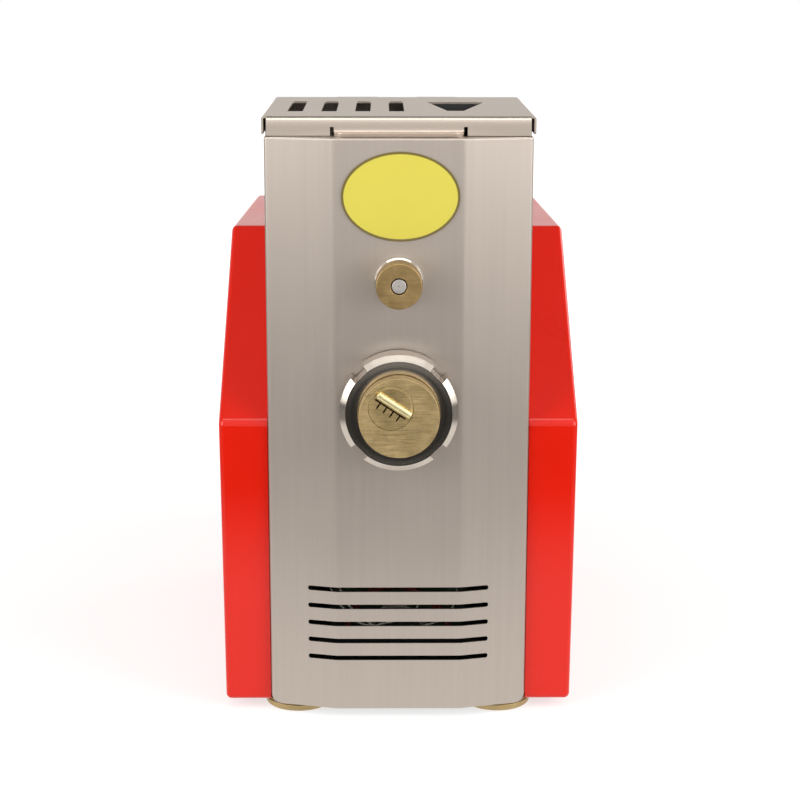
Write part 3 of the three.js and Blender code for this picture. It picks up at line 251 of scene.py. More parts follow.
def turned(corners, middle, sides, steps=4):
    """A lathed shape, its profile's corners given as (radius, y, rounding in mm)"""
    profile = rounded([c[:2] for c in corners], [c[2] * MM for c in corners], steps)
    return lathe(profile, middle, sides)


AXES = {
    "x": lambda u, v, t: (t, u, v),
    "y": lambda u, v, t: (u, t, v),
    "z": lambda u, v, t: (u, v, t),
}


def prism(outline, start, end, axis="y"):
    """An outline run straight along an axis, closed at both ends"""
    lines = [[AXES[axis](u, v, t) for u, v in outline] for t in (start, end)]
    verts, faces = strip(lines, closed_across=True)
    count = len(outline)
    faces += [tuple(range(count)), tuple(range(2 * count - 1, count - 1, -1))]
    return mesh_object(verts, faces)


def block(x, y, z):
    return prism(box_outline(*x, *z), *y)


def rod_x(radius, start, end, y, z, sides=48):
    return prism(circle(radius, y, z, sides), start, end, "x")


def placed(obj, place, turn=0.0, axis="Y"):
    """The object with its mesh turned about an axis and then moved"""
    obj.data.transform(Matrix.Translation(place) @ Matrix.Rotation(turn, 4, axis))
    return obj


def modified(obj, name, kind, **settings):
    step = obj.modifiers.new(name, kind)
    for setting, value in settings.items():
        setattr(step, setting, value)


def applied(obj):
    """The object with its modifiers worked into its mesh"""
    graph = bpy.context.evaluated_depsgraph_get()
    made = bpy.data.meshes.new_from_object(obj.evaluated_get(graph))
    obj.modifiers.clear()
    obj.data = made
    return obj


def boolean(obj, others, operation):
    for other in others:
        modified(obj, "boolean", "BOOLEAN", operation=operation, solver="EXACT", object=other)
        applied(obj)
        bpy.data.objects.remove(other)
    return obj


def cut(obj, *others):
    return boolean(obj, others, "DIFFERENCE")


def fuse(obj, *others):
    return boolean(obj, others, "UNION")


def keep_within(obj, other):
    return boolean(obj, [other], "INTERSECT")


def thickened(obj, gauge):
    """A sheet given its gauge on its inner side"""
    modified(obj, "gauge", "SOLIDIFY", thickness=gauge, offset=-1, use_even_offset=True)
    return applied(obj)


def bevelled(obj, width):
    modified(
        obj, "edge", "BEVEL", width=width * MM, segments=2, limit_method="ANGLE",
        angle_limit=radians(38), use_clamp_overlap=True, harden_normals=True,
    )


def merged(objects):
    """Several objects' meshes as one object"""
    mesh = bpy.data.meshes.new("shape")
    with reworked(mesh) as work:
        for obj in objects:
            work.from_mesh(obj.data)
            bpy.data.objects.remove(obj)
    return added("shape", mesh)


def shaded(mesh, sharp_degrees):
    """Smooth faces, with edges over an angle kept sharp"""
    with reworked(mesh) as work:
        for face in work.faces:
            face.smooth = True
        for edge in work.edges:
            if len(edge.link_faces) == 2:
                edge.smooth = edge.calc_face_angle(0) < radians(sharp_degrees)


def coat(obj, material):
    obj.data.materials.clear()
    obj.data.materials.append(bpy.data.materials[material])


def piece(obj, name, body, material, stands_for=(), edge=0.0, sharp=32):
    """Names and shades an object, softens its edges by edge in mm and hangs it on its body"""
    obj.name = name
    obj.data.name = name
    coat(obj, material)
    tidy_mesh(obj)
    shaded(obj.data, sharp)
    if edge:
        bevelled(obj, edge)
    modified(obj, "weigh", "WEIGHTED_NORMAL", keep_sharp=True)
    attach(obj, body)
    if stands_for:
        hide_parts(*stands_for)


# Node trees

class Nodes:
    """A node tree, with short calls for what its users share"""

    def __init__(self, tree, family="ShaderNode"):
        self.tree = tree
        self.family = family

    def feed(self, node, inputs):
        """Sets inputs to values, or links them to outputs or to the first output of nodes"""
        for socket, value in inputs.items():
            if isinstance(value, bpy.types.Node):
                value = value.outputs[0]
            if isinstance(value, bpy.types.NodeSocket):
                self.tree.links.new(value, node.inputs[socket])
            else:
                node.inputs[socket].default_value = value

    def node(self, kind, inputs=None, **settings):
        made = self.tree.nodes.new(self.family + kind)
        for name, value in settings.items():
            setattr(made, name, value)
        self.feed(made, inputs or {})
        return made

    def maths(self, operation, *values):
        return self.node("Math", dict(enumerate(values)), operation=operation)

    def ranged(self, factor, low, high, start=0.3, end=0.7, kind="LINEAR"):
        """A value that runs from low to high while the factor runs from start to end"""
        return self.node("MapRange", {
            "Value": factor, "From Min": start, "From Max": end, "To Min": low, "To Max": high,
        }, interpolation_type=kind)

    def mixed(self, share, first, second):
        """A colour between two others"""
        return self.node("Mix", {0: share, 6: first, 7: second}, data_type="RGBA").outputs[2]

    def blended(self, share, first, second):
        """A shader between two others"""
        return self.node("MixShader", {0: share, 1: first, 2: second})


def emptied(owner):
    """The node tree of a material or world, without the nodes that it starts with"""
    owner.use_nodes = True
    owner.node_tree.nodes.clear()
    return Nodes(owner.node_tree)


def smoothing_group():
    """A node group that merges a mesh's points and smooths its faces up to an angle"""
    group = bpy.data.node_groups.new("smooth_by_angle", "GeometryNodeTree")
    for way in ("INPUT", "OUTPUT"):
        group.interface.new_socket("Geometry", in_out=way, socket_type="NodeSocketGeometry")
    node = Nodes(group, "").node
    source = node("NodeGroupInput")
    weld = node("GeometryNodeMergeByDistance", {"Geometry": source, "Distance": 2e-5})
    bare = node("GeometryNodeRemoveAttribute", {"Geometry": weld, "Name": "custom_normal"})
    faces = node("GeometryNodeSetShadeSmooth", {"Geometry": bare}, domain="FACE")
    angle = node("GeometryNodeInputMeshEdgeAngle").outputs["Unsigned Angle"]
    inputs = {"A": angle, "B": radians(34)}
    low = node("FunctionNodeCompare", inputs, data_type="FLOAT", operation="LESS_THAN")
    inputs = {"Geometry": faces, "Shade Smooth": low}
    node("NodeGroupOutput", {0: node("GeometryNodeSetShadeSmooth", inputs, domain="EDGE")})
    return group


SMOOTHING = smoothing_group()


def dress(node, material, edge):
    """A CAD node keeps its shape and gets smooth shading, softened edges and a material"""
    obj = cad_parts[node]
    coat(obj, material)
    modified(obj, "smooth", "NODES", node_group=SMOOTHING)
    if edge:
        bevelled(obj, edge)


# Materials


def rgb(red, green, blue):
    """A colour given as it shows on screen, in linear light"""
    def linear(value):
        share = value / 255
        return share / 12.92 if share <= 0.04045 else ((share + 0.055) / 1.055) ** 2.4
    return (linear(red), linear(green), linear(blue), 1.0)


class Finish(Nodes):
    """A material's node tree, with short calls for what the finishes share"""

    def __init__(self, name, slot, colour, metallic, roughness, **sockets):
        material = bpy.data.materials.new(name)
        material.use_nodes = True
        super().__init__(material.node_tree)
        self.colour = rgb(*colour)
        self.give(Base_Color=self.colour, Metallic=metallic, Roughness=roughness, **sockets)

    def give(self, **sockets):
        """Feeds the shader's inputs, with _ for each blank in their names"""
        inputs = {name.replace("_", " "): value for name, value in sockets.items()}
        self.feed(self.tree.nodes["Principled BSDF"], inputs)

    def place(self, scale, origin=ORIGIN):
        return self.node("Mapping", {
            "Vector": self.node("TexCoord").outputs["Object"], "Scale": scale,
            "Location": [-o * s for o, s in zip(origin, scale)],
        })

    def noise(self, scale, detail=4.0, rough=0.6):
        """Noise whose scale is given in waves per metre, along each axis or the same for all"""
        scale = scale if isinstance(scale, (list, tuple)) else [scale] * 3
        return self.node("TexNoise", {
            "Vector": self.place(scale), "Scale": 1.0, "Detail": detail, "Roughness": rough,
        })

    def outward(self, middle, operation):
        """The way from a line along Y, as a length or a direction"""
        flat = self.place((1, 0, 1), (middle.x, 0, middle.z))
        return self.node("VectorMath", {0: flat}, operation=operation)

    def rings(self, waves, middle, detail=3.0):
        """Noise that only changes with the distance from a line along Y"""
        length = self.outward(middle, "LENGTH").outputs["Value"]
        inputs = {"W": length, "Scale": waves, "Detail": detail}
        return self.node("TexNoise", inputs, noise_dimensions="1D")

    def tinted(self, factor, dark, light, end=0.7):
        """Base colour that runs between two shares of the finish's own"""
        shades = [(*[c * share for c in self.colour[:3]], 1.0) for share in (dark, light)]
        self.give(Base_Color=self.mixed(self.ranged(factor, 0, 1, end=end), *shades))

    def roughened(self, factor, low, high):
        self.give(Roughness=self.ranged(factor, low, high))

    def bumped(self, height, strength, distance, socket="Normal", before=None):
        """A bump of so many millimetres, on top of another one where that is given"""
        inputs = {"Height": height, "Strength": strength, "Distance": distance * MM}
        if before is not None:
            inputs["Normal"] = before
        bump = self.node("Bump", inputs)
        self.give(**{socket: bump})
        return bump


def brushed(name, colour, roughness, along, spread, strength, stretch):
    """Sheet metal brushed along one axis, whose highlights spread across the brushing"""
    made = Finish(name, "brushed_panel", colour, 1.0, roughness, Anisotropic=stretch)
    made.give(Tangent=made.node("Tangent", direction_type="RADIAL", axis=along))
    hair = made.noise([26 if axis == along else 2600 for axis in "XYZ"], 3.0, 0.55)
    streak = made.noise([5 if axis == along else 260 for axis in "XYZ"])
    cloud = made.noise(9, 2.0, 0.5)
    made.tinted(streak, 0.97, 1.02)
    level = made.ranged(cloud, roughness - 0.02, roughness + 0.02)
    made.give(Roughness=made.maths("ADD", made.ranged(hair, -spread, spread), level))
    first = made.bumped(hair, strength, 0.02)
    made.bumped(streak, strength / 3, 0.05, before=first)


def turned_metal(name, colour, roughness, middle, strength=0.12, stretch=0.6):
    """Metal finished on a lathe about a line along Y, its highlights spread across the marks"""
    made = Finish(name, "turned_steel", colour, 1.0, roughness, Anisotropic=stretch)
    outward = made.outward(middle, "NORMALIZE")
    made.give(Tangent=made.node("VectorMath", {0: outward, 1: (0, 0.3, 0)}))
    waves = 1500.0
    marks = made.rings(waves, middle)
    broad = made.rings(waves / 9, middle, 2.0)
    made.tinted(made.noise(60), 0.93, 1.03)
    made.roughened(broad, roughness * 0.75, roughness * 1.3)
    made.bumped(marks, strength, 0.03)


def worn_brass(name, colour, roughness, middle):
    """Brass with fine straight scratches over lathe marks, and a little tarnish"""
    made = Finish(name, "solid_brass", colour, 1.0, roughness)
    scratch = made.noise((55, 400, 1900), 5.0, 0.7)
    stain = made.noise(75, 5.0, 0.65)
    wear = made.maths("MULTIPLY_ADD", scratch, 0.5, made.ranged(stain, 0.0, 0.5))
    made.tinted(wear, 0.70, 1.08, 0.75)
    made.roughened(scratch, roughness * 0.75, roughness * 1.3)
    first = made.bumped(scratch, 0.45, 0.04)
    made.bumped(made.rings(900.0, middle), 0.12, 0.03, before=first)


def gloss_paint(name, slot, colour, roughness, coat):
    """Powder paint under a gloss coat, with the coat's faint orange peel"""
    made = Finish(
        name, slot, colour, 0.0, roughness,
        Specular_IOR_Level=0.1, Coat_Weight=coat, Coat_Roughness=0.035,
    )
    peel = made.noise(210, 2.0, 0.5)
    cloud = made.noise(14, 3.0, 0.5)
    made.tinted(cloud, 0.965, 1.0)
    made.roughened(cloud, roughness - 0.03, roughness + 0.05)
    made.bumped(peel, 0.10, 0.05, "Coat Normal")
    made.bumped(peel, 0.05, 0.05)


def cast_metal(name, slot, colour, roughness, metallic=0.85, grain=0.35):
    """Metal with a rough cast or turned-off face"""
    made = Finish(name, slot, colour, metallic, roughness)
    cloud = made.noise(40)
    made.tinted(cloud, 0.8, 1.06)
    made.roughened(cloud, roughness - 0.08, roughness + 0.1)
    made.bumped(made.noise(900, 5.0, 0.7), grain, 0.12)


def moulded(name, slot, colour, roughness, grain=0.18, **sockets):
    """Moulded plastic or rubber with a fine spark texture"""
    made = Finish(name, slot, colour, 0.0, roughness, **sockets)
    spark = made.noise(1500, 3.0)
    made.tinted(made.noise(50, 3.0, 0.5), 0.88, 1.04)
    made.roughened(spark, roughness - 0.05, roughness + 0.08)
    made.bumped(spark, grain, 0.04)


brushed("panel_steel", (190, 181, 173), 0.45, "Z", 0.03, 0.05, 0.45)
brushed("lid_steel", (208, 197, 186), 0.30, "X", 0.03, 0.05, 0.5)
brushed("inner_steel", (188, 184, 178), 0.28, "Y", 0.04, 0.06, 0.7)
turned_metal("nut_steel", (206, 198, 188), 0.14, NUT)
turned_metal("collar_steel", (222, 214, 202), 0.16, KNOB)
turned_metal("bolt_steel", (190, 188, 184), 0.24, ORIGIN, 0.06, 0.0)
cast_metal("pin_steel", "turned_steel", (192, 188, 184), 0.42, 1.0, 0.5)
cast_metal("gear_steel", "gear_steel", (128, 128, 126), 0.36, 1.0, 0.10)
cast_metal("cast_grey", "cast_alloy", (134, 137, 140), 0.48)
worn_brass("die_brass", (206, 182, 133), 0.46, NUT)
# The bar is the insert's own brass, made paler as a painted highlight
worn_brass("bar_brass_painted_highlight", (242, 231, 180), 0.36, INSERT)
worn_brass("insert_brass", (208, 184, 132), 0.40, INSERT)
worn_brass("knob_brass", (180, 153, 106), 0.44, KNOB)
worn_brass("bush_brass", (184, 152, 92), 0.34, KNOB)
cast_metal("foot_brass", "solid_brass", (178, 156, 112), 0.42, 0.9, 0.10)
gloss_paint("red_gloss", "red_paint", (226, 26, 1), 0.3, 0.7)
gloss_paint("red_satin", "red_paint", (224, 27, 3), 0.5, 0.0)
gloss_paint("yellow_gloss", "yellow_enamel", (219, 209, 84), 0.28, 0.6)
gloss_paint("rim_gloss", "yellow_enamel", (118, 106, 58), 0.34, 0.4)
gloss_paint("motor_gloss", "motor_paint", (44, 58, 76), 0.42, 0.3)
moulded("black_moulded", "black_plastic", (24, 25, 27), 0.45)
moulded("mark_white", "white_plastic", (228, 226, 218), 0.5, 0.05)
moulded("white_moulded", "white_plastic", (226, 223, 212), 0.45)
moulded("green_moulded", "green_plastic", (38, 132, 64), 0.32, 0.08, Coat_Weight=0.4)
moulded("red_moulded", "red_plastic", (196, 34, 28), 0.32, 0.08, Coat_Weight=0.4)
moulded("wire_red", "red_plastic", (104, 30, 24), 0.5, 0.05)
# White insulation darkened to grey as painted shade, for the loom inside the body
moulded("wire_white_painted_shade", "white_plastic", (132, 130, 120), 0.5, 0.05)
moulded("board_laminate", "circuit_laminate", (40, 62, 44), 0.5, 0.3)


# Front panel

def panel_plan(inset):
    """The panel's plan from the left return to the right one, moved in by inset"""
    slope = atan2(FACET_FALL, PANEL_HALF - FACET_HALF)
    bend = inset * tan(slope / 2)
    corner = inset * tan((pi / 2 - slope) / 2)
    right = [
        (FACET_HALF - bend, FACE + inset),
        (PANEL_HALF - inset, FACE + FACET_FALL + corner),
        (PANEL_HALF - inset, PANEL_RETURN),
    ]
    left = [(-x, y) for x, y in reversed(right)]
    side = max(SIDE_RADIUS - inset, 0.2 * MM)
    return rounded(left + right, [0, side, CREASE_RADIUS, CREASE_RADIUS, side, 0])


def make_front_panel():
    top = PANEL_TOP + TOP_REACH
    rows = [(PANEL_BOTTOM, 0.0), (NUT.z, 0.0)]
    rows += [(top - short, inset) for inset, short in quarter_round(TOP_ROLL)]
    lines = [[(x, y, z) for x, y in panel_plan(inset)] for z, inset in rows]
    back = behind(PANEL_FLANGE_END)
    lines.append([(x, max(y, back), z) for x, y, z in lines[-1]])
    sheet = thickened(mesh_object(*strip(lines)), SHEET)
    front, inside = FACE - 2 * PAST, behind(PANEL_CUT_END)
    outline = box_outline(-PANEL_HALF, PANEL_HALF, PANEL_BOTTOM, top + MM)
    outline = rounded(outline, [PANEL_CORNER, PANEL_CORNER, 0, 0])
    keep_within(sheet, prism(outline, front, PANEL_RETURN + 2 * PAST))
    cutters = []
    for i in range(VENT_COUNT):
        z = VENT_BOTTOM + i * VENT_PITCH
        vent = box_outline(-VENT_HALF, VENT_HALF, z - VENT_HEIGHT / 2, z + VENT_HEIGHT / 2)
        cutters.append(prism(rounded(vent, VENT_HEIGHT * 0.45), front, inside))
    cutters.append(prism(circle(HEAD_HOLE, NUT.x, NUT.z, 96), front, inside))
    cutters.append(prism(circle(BOSS_HOLE, KNOB.x, KNOB.z, 64), front, inside))
    cut(sheet, *cutters)
    piece(sheet, "front_panel_sheet", "root", "panel_steel", ["front_panel"], 0.22)


# Lid

def lip_line(x, front, flange_bottom):
    """The finger lip's section at x as (y, z), whose reach and bends shrink round its corners"""
    aside = max(0.0, (abs(x) - LIP_EDGE_HALF) / (LIP_ROOT_HALF - LIP_EDGE_HALF))
    reach = max(0.4 * MM, LIP_REACH * sqrt(max(0.0, 1 - aside ** 2)))
    shelf = flange_bottom + LIP_SHELF
    corners = [
        (front, flange_bottom + RELIEF_TOP),
        (front, shelf),
        (front - reach, shelf - 0.4 * MM * reach / LIP_REACH),
        (front - 0.8 * reach, flange_bottom - 0.3 * MM),
    ]
    bends = [0, min(LIP_INNER_BEND, 0.5 * reach), min(LIP_OUTER_BEND, 0.4 * reach), 0]
    return rounded(corners, bends, steps=5)


def lid_skin(top, front):
    """The lid's outer face: front fold, flange, finger lip, hooked side lips and top"""
    def part(xs, section):
        return mesh_object(*strip([[(x, y, z) for x in xs] for y, z in section]))

    flange_bottom = top - LID_FLANGE
    relief_top = flange_bottom + RELIEF_TOP
    turn = LIP_ROOT_HALF - LIP_EDGE_HALF
    curved = [LIP_EDGE_HALF + turn * cos(pi / 2 * i / 10) for i in range(1, 11)]
    left = [-FLANGE_HALF, -LID_COLUMN, -RELIEF_OUTER, -LIP_ROOT_HALF, *[-x for x in curved]]
    columns = [*left, -LIP_EDGE_HALF / 2, 0, LIP_EDGE_HALF / 2, *[-x for x in reversed(left)]]
    bend = arc((front + LID_FOLD, top - LID_FOLD), LID_FOLD, pi / 2, pi / 2, 6)
    parts = [part(columns, [(front + LID_STRIP, top), *bend, (front, relief_top)])]
    for side in (-1, 1):
        edge = [side * x for x in (FLANGE_HALF, LID_COLUMN, RELIEF_OUTER)]
        parts.append(part(edge, [(front, relief_top), (front, flange_bottom)]))
    middle = [x for x in columns if abs(x) <= LIP_ROOT_HALF + 1e-6]
    lip = [[(x, y, z) for y, z in lip_line(x, front, flange_bottom)] for x in middle]
    parts.append(mesh_object(*strip(lip)))
    corner = (LIP_OUTER - SIDE_FOLD, top - SIDE_FOLD)
    side_bend = arc(corner, SIDE_FOLD, pi / 2, -pi / 2, 6)
    bottom = top - SIDE_LIP_HEIGHT
    hook = [(LIP_OUTER, top - SIDE_FOLD), (LIP_OUTER, bottom), (LIP_OUTER - SIDE_LIP_HOOK, bottom)]
    hook = rounded(hook, [0, MM, 0])
    for side in (-1, 1):
        across = [(side * FLANGE_HALF, top), *[(side * x, z) for x, z in side_bend + hook[1:]]]
        ys = (front + LID_FOLD, front + LID_STRIP, TOWER_BACK)
        parts.append(mesh_object(*strip([[(x, y, z) for x, z in across] for y in ys])))
    parts.append(part(columns, [(front + LID_STRIP, top), (TOWER_BACK, top)]))
    skin = merged(parts)
    tidy_mesh(skin, 1e-6)
    if sum(f.normal.z for f in skin.data.polygons) < 0:
        skin.data.flip_normals()
    return skin


def make_lid():
    sheet = thickened(lid_skin(LID_TOP, behind(LID_FRONT)), SHEET)
    half = SLOT_WIDTH / 2
    outlines = []
    for i in range(SLOT_COUNT):
        x = SLOT_FIRST + i * SLOT_PITCH
        outlines.append(box_outline(x - half, x + half, behind(SLOT_START), behind(SLOT_END)))
    outlines.append([
        (POUR_FRONT_X - POUR_FRONT_HALF, behind(POUR_START)),
        (POUR_FRONT_X + POUR_FRONT_HALF, behind(POUR_START)),
        (POUR_BACK_X + POUR_BACK_HALF, behind(POUR_END)),
        (POUR_BACK_X - POUR_BACK_HALF, behind(POUR_END)),
    ])
    low, high = LID_TOP - 6 * MM, LID_TOP + 6 * MM
    cut(sheet, *[prism(rounded(line, CUT_CORNER), low, high, "z") for line in outlines])
    lid = merged([sheet, *lid_knuckles()])
    piece(lid, "lid_sheet", "lid", "lid_steel", ["lid_panel"], 0.22)


def lid_knuckles():
    """The lid's share of the hinge: rolled knuckles on straps off the lid's back edge"""
    pin = centre("hinge_pin")
    length = 2 * HINGE_HALF / KNUCKLES
    high, low = LID_TOP - 0.02 * MM, LID_TOP - SHEET + 0.02 * MM
    near, far, root = pin.y - SHEET / 2, pin.y + SHEET / 2, TOWER_BACK - SHEET
    strap = [(root, low), (root, high), (far, high), (far, pin.z), (near, pin.z), (near, low)]
    strap = rounded(strap, [0, 0, 1.4 * MM, 0, 0, 0])
    made = []
    for i in range(1, KNUCKLES, 2):
        start = -HINGE_HALF + i * length + GAP / 2
        end = start + length - GAP
        knuckle = rod_x(HINGE_RADIUS, start, end, pin.y, pin.z)
        fuse(knuckle, prism(strap, start, end, "x"))
        cut(knuckle, rod_x(HINGE_PIN, start - MM, end + MM, pin.y, pin.z, 32))
        made.append(knuckle)
    return made


# Side covers

def cover_face(z):
    """How far out a side cover's face lies at a height, before it draws in towards the back"""
    drop = max(0.0, (COVER_BEND - z) / (COVER_BEND - COVER_BOTTOM))
    return COVER_OUTER - COVER_LOWER_TAPER * drop


def draw_in(obj, side):
    """Draws the cover's upper side in towards the back, on a grid of cuts that keeps it smooth"""
    start = behind(COVER_TOP_FRONT)
    rise, run = COVER_TOP - COVER_BEND, COVER_BACK - start
    rows = [((0, 0, COVER_BEND + rise * i / 6), (0, 0, 1)) for i in range(1, 6)]
    columns = [((0, start + run * i / 6, 0), (0, 1, 0)) for i in range(6)]
    with reworked(obj.data) as work:
        for place, across in rows + columns:
            parts = work.verts[:] + work.edges[:] + work.faces[:]
            bmesh.ops.bisect_plane(work, geom=parts, plane_co=place, plane_no=across, dist=1e-6)
        for vert in work.verts:
            up = max(0.0, (vert.co.z - COVER_BEND) / rise)
            along = max(0.0, (vert.co.y - start) / run)
            if abs(vert.co.x) > (COVER_INNER + COVER_OUTER) / 2:
                vert.co.x -= side * COVER_REAR_TAPER * up * along


def cover_outline(inset):
    """The cover's side view as (y, z), moved in by inset, from the back at the bend upwards"""
    corners = [
        (COVER_BACK, COVER_TOP), (behind(COVER_TOP_FRONT), COVER_TOP), (COVER_FRONT, COVER_BEND),
        (COVER_FRONT, COVER_BOTTOM), (COVER_BACK, COVER_BOTTOM),
    ]
    moved = []
    for i, corner in enumerate(corners):
        here = Vector(corner)
        before = (here - Vector(corners[i - 1])).normalized()
        after = (Vector(corners[(i + 1) % len(corners)]) - here).normalized()
        inward = Vector((-before.y - after.y, before.x + after.x)).normalized()
        moved.append(here + inward * inset / cos(before.angle(after) / 2))
    radii = [COVER_EDGE, COVER_BEND_RADIUS, COVER_BEND_RADIUS, COVER_EDGE, COVER_EDGE]
    line = rounded(moved, [max(r - inset, 0.3 * MM) for r in radii], steps=8)
    line = [Vector((COVER_BACK - inset, COVER_BEND)), *line]
    made = []
    for point, following in zip(line, line[1:] + line[:1]):
        made.append(point)
        if point.y > COVER_BEND > following.y:
            share = (point.y - COVER_BEND) / (point.y - following.y)
            made.append(point.lerp(following, share))
    return made


def make_cover(side, name):
    rings = []
    for inset, short in quarter_round(COVER_EDGE):
        rings.append([(side * (cover_face(z) - short), y, z) for y, z in cover_outline(inset)])
    mouth = [(side * COVER_INNER, y, z) for _, y, z in rings[0]]
    verts, faces = strip([mouth, *rings], closed_across=True)
    count = len(mouth)
    last = len(rings) * count
    crossing = next(i for i in range(1, count) if abs(rings[-1][i][2] - COVER_BEND) < 1e-6)
    faces.append(tuple(last + i for i in range(crossing + 1)))
    faces.append(tuple(last + i % count for i in range(crossing, count + 1)))
    skin = mesh_object(verts, faces)
    draw_in(skin, side)
    thickened(skin, COVER_WALL)
    bosses = []
    for i in (1, 2):
        _, y, z = centre(f"{name}_cover_screw_{i}")
        face = side * cover_face(z)
        ends = sorted((face - side * 6 * MM, face + side * 2 * MM))
        cut(skin, rod_x(SCREW_HEAD + GAP, *ends, y, z))
        root = side * (PANEL_HALF + GAP)
        mouth = face - side * COVER_WALL * 0.9
        seat = face - side * (SCREW_HEIGHT + 2 * GAP)
        profile = [
            (SCREW_SHANK + GAP, root), (SCREW_BOSS, root), (SCREW_BOSS, mouth),
            (SCREW_HEAD + GAP, mouth), (SCREW_HEAD + GAP, seat), (SCREW_SHANK + GAP, seat),
        ]
        bosses.append(placed(lathe(profile, ORIGIN, 48), (0, y, z), -pi / 2, "Z"))
    whole = merged([skin, *bosses])
    piece(whole, f"{name}_cover_shell", "root", "red_gloss", [f"{name}_side_cover"], 0.0, 40)


# Screws

def screw(name, node, out):
    """A pan-head screw with a hex socket, whose head faces along out"""
    low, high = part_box(node)
    axis = 0 if abs(out.x) > 0.5 else 1
    length = high[axis] - low[axis]
    seat = length - SCREW_HEIGHT
    made = turned([
        (0, length, 0), (SCREW_HEAD, length, 0.9), (SCREW_HEAD, seat, 0.2),
        (SCREW_SHANK, seat, 0), (SCREW_SHANK, 0, 0.4), (0, 0, 0),
    ], ORIGIN, 48, 6)
    cut(made, prism(circle(SOCKET_RADIUS, sides=6), length - 1.5 * MM, length + MM))
    turn = Vector((0, 1, 0)).rotation_difference(out).to_matrix().to_4x4()
    start = centre(node)
    start[axis] = low[axis] if out[axis] > 0 else high[axis]
    made.data.transform(Matrix.Translation(start) @ turn)
    piece(made, name, "root", "bolt_steel", [node], 0.1)


# Extruder's outside: ring nut, die and insert

def make_ring_nut():
    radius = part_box("ring_nut")[1].x
    front, back = span("ring_nut", 1)
    rim, lip = behind(NUT_RIM), front + NUT_LIP
    nut = turned([
        (NUT_MOUTH, front, 0.5), (NUT_SHOULDER, front, 0.35), (radius, rim, 0.45),
        (radius, back, 0.8), (NUT_BORE, back, 0.5), (NUT_BORE, lip, 0.3), (NUT_MOUTH, lip, 0.3),
    ], NUT, 192)
    outline = box_outline(NOTCH_FLOOR, NOTCH_END, -NOTCH_HALF, NOTCH_HALF)
    outline = rounded(outline, [NOTCH_CORNER, 0, 0, NOTCH_CORNER])
    for turn in (45, 135, 225, 315):
        notch = prism(outline, front - PAST, back + PAST)
        cut(nut, placed(notch, (NUT.x, 0, NUT.z), radians(turn)))
    piece(nut, "ring_nut_turned", "nut", "nut_steel", ["ring_nut"], 0.28, 30)


def make_die():
    front, back = span("die_disc", 1)
    near, far = behind(DIE_FLANGE_FRONT), behind(DIE_FLANGE_BACK)
    disc = turned([
        (0, front, 0), (DIE_BOSS, front, 0.3), (DIE_BOSS, near, 0), (DIE_FLANGE, near, 0.4),
        (DIE_FLANGE, far, 0.4), (DIE_BACK, far, 0), (DIE_BACK, back, 0.4), (0, back, 0),
    ], NUT, 160)
    middle = INSERT.z + INSERT_RAISE
    seat = circle(INSERT_RADIUS + 0.25 * MM, INSERT.x, middle, 96)
    hole = circle(INSERT_RADIUS - 3 * MM, INSERT.x, middle, 72)
    seat = prism(seat, front - PAST, front + INSERT_DEPTH + GAP)
    cut(disc, seat, prism(hole, front - PAST, back + PAST))
    piece(disc, "die_turned", "die", "die_brass", ["die_disc"], 0.12)
    insert, bar = insert_and_bar(front)
    for made in (insert, bar):
        placed(made, (INSERT.x, 0, middle), radians(INSERT_TURN))
    piece(insert, "die_insert_turned", "die", "insert_brass", ["die_insert"], 0.1)
    # The bar's paler brass is a painted highlight
    piece(bar, "die_insert_bar", "die", "bar_brass_painted_highlight", ["die_insert"], 0.1)


def insert_and_bar(front):
    """The insert with its recess, slit and teeth, and the bar that lies in the recess"""
    back = front + INSERT_DEPTH
    insert = turned([
        (0, front, 0), (INSERT_RADIUS, front, 0.3), (INSERT_RADIUS, back, 0.2), (0, back, 0),
    ], ORIGIN, 128, 3)
    edge = INSERT_RADIUS - 0.9 * MM
    bowl = lathe([
        (0, front - MM), (edge, front - MM), (edge, front),
        (INSERT_RADIUS - 2.4 * MM, front + 0.9 * MM), (0, front + 1.3 * MM),
    ], ORIGIN, 96)
    across, deep = (-INSERT_RADIUS, INSERT_RADIUS), (front - 9 * MM, front + 9 * MM)
    cut(insert, keep_within(bowl, block(across, deep, (BAR_OFFSET, INSERT_RADIUS))))
    section = circle(BAR_RADIUS, front + 0.9 * MM, BAR_OFFSET, 48)
    bar = prism(section, BAR_SHIFT - BAR_HALF, BAR_SHIFT + BAR_HALF, "x")
    limit = {"limit_method": "ANGLE", "angle_limit": radians(60)}
    modified(bar, "ends", "BEVEL", width=0.9 * MM, segments=4, **limit)
    outline = circle(INSERT_RADIUS - 0.3 * MM, sides=96)
    keep_within(applied(bar), prism(outline, front - PAST, back - MM))
    through = (front - PAST, back + PAST)
    slit = (SLIT_Z - SLIT_HALF, SLIT_Z + SLIT_HALF)
    comb = block((-SLIT_REACH, SLIT_REACH), through, slit)
    for i in range(TOOTH_COUNT):
        x = (i - (TOOTH_COUNT - 1) / 2) * TOOTH_PITCH
        tooth = (x - SLIT_HALF, x + SLIT_HALF)
        fuse(comb, block(tooth, through, (SLIT_Z - TOOTH_LENGTH, SLIT_Z)))
    return cut(insert, comb), bar


# Knob, collar and paddle end

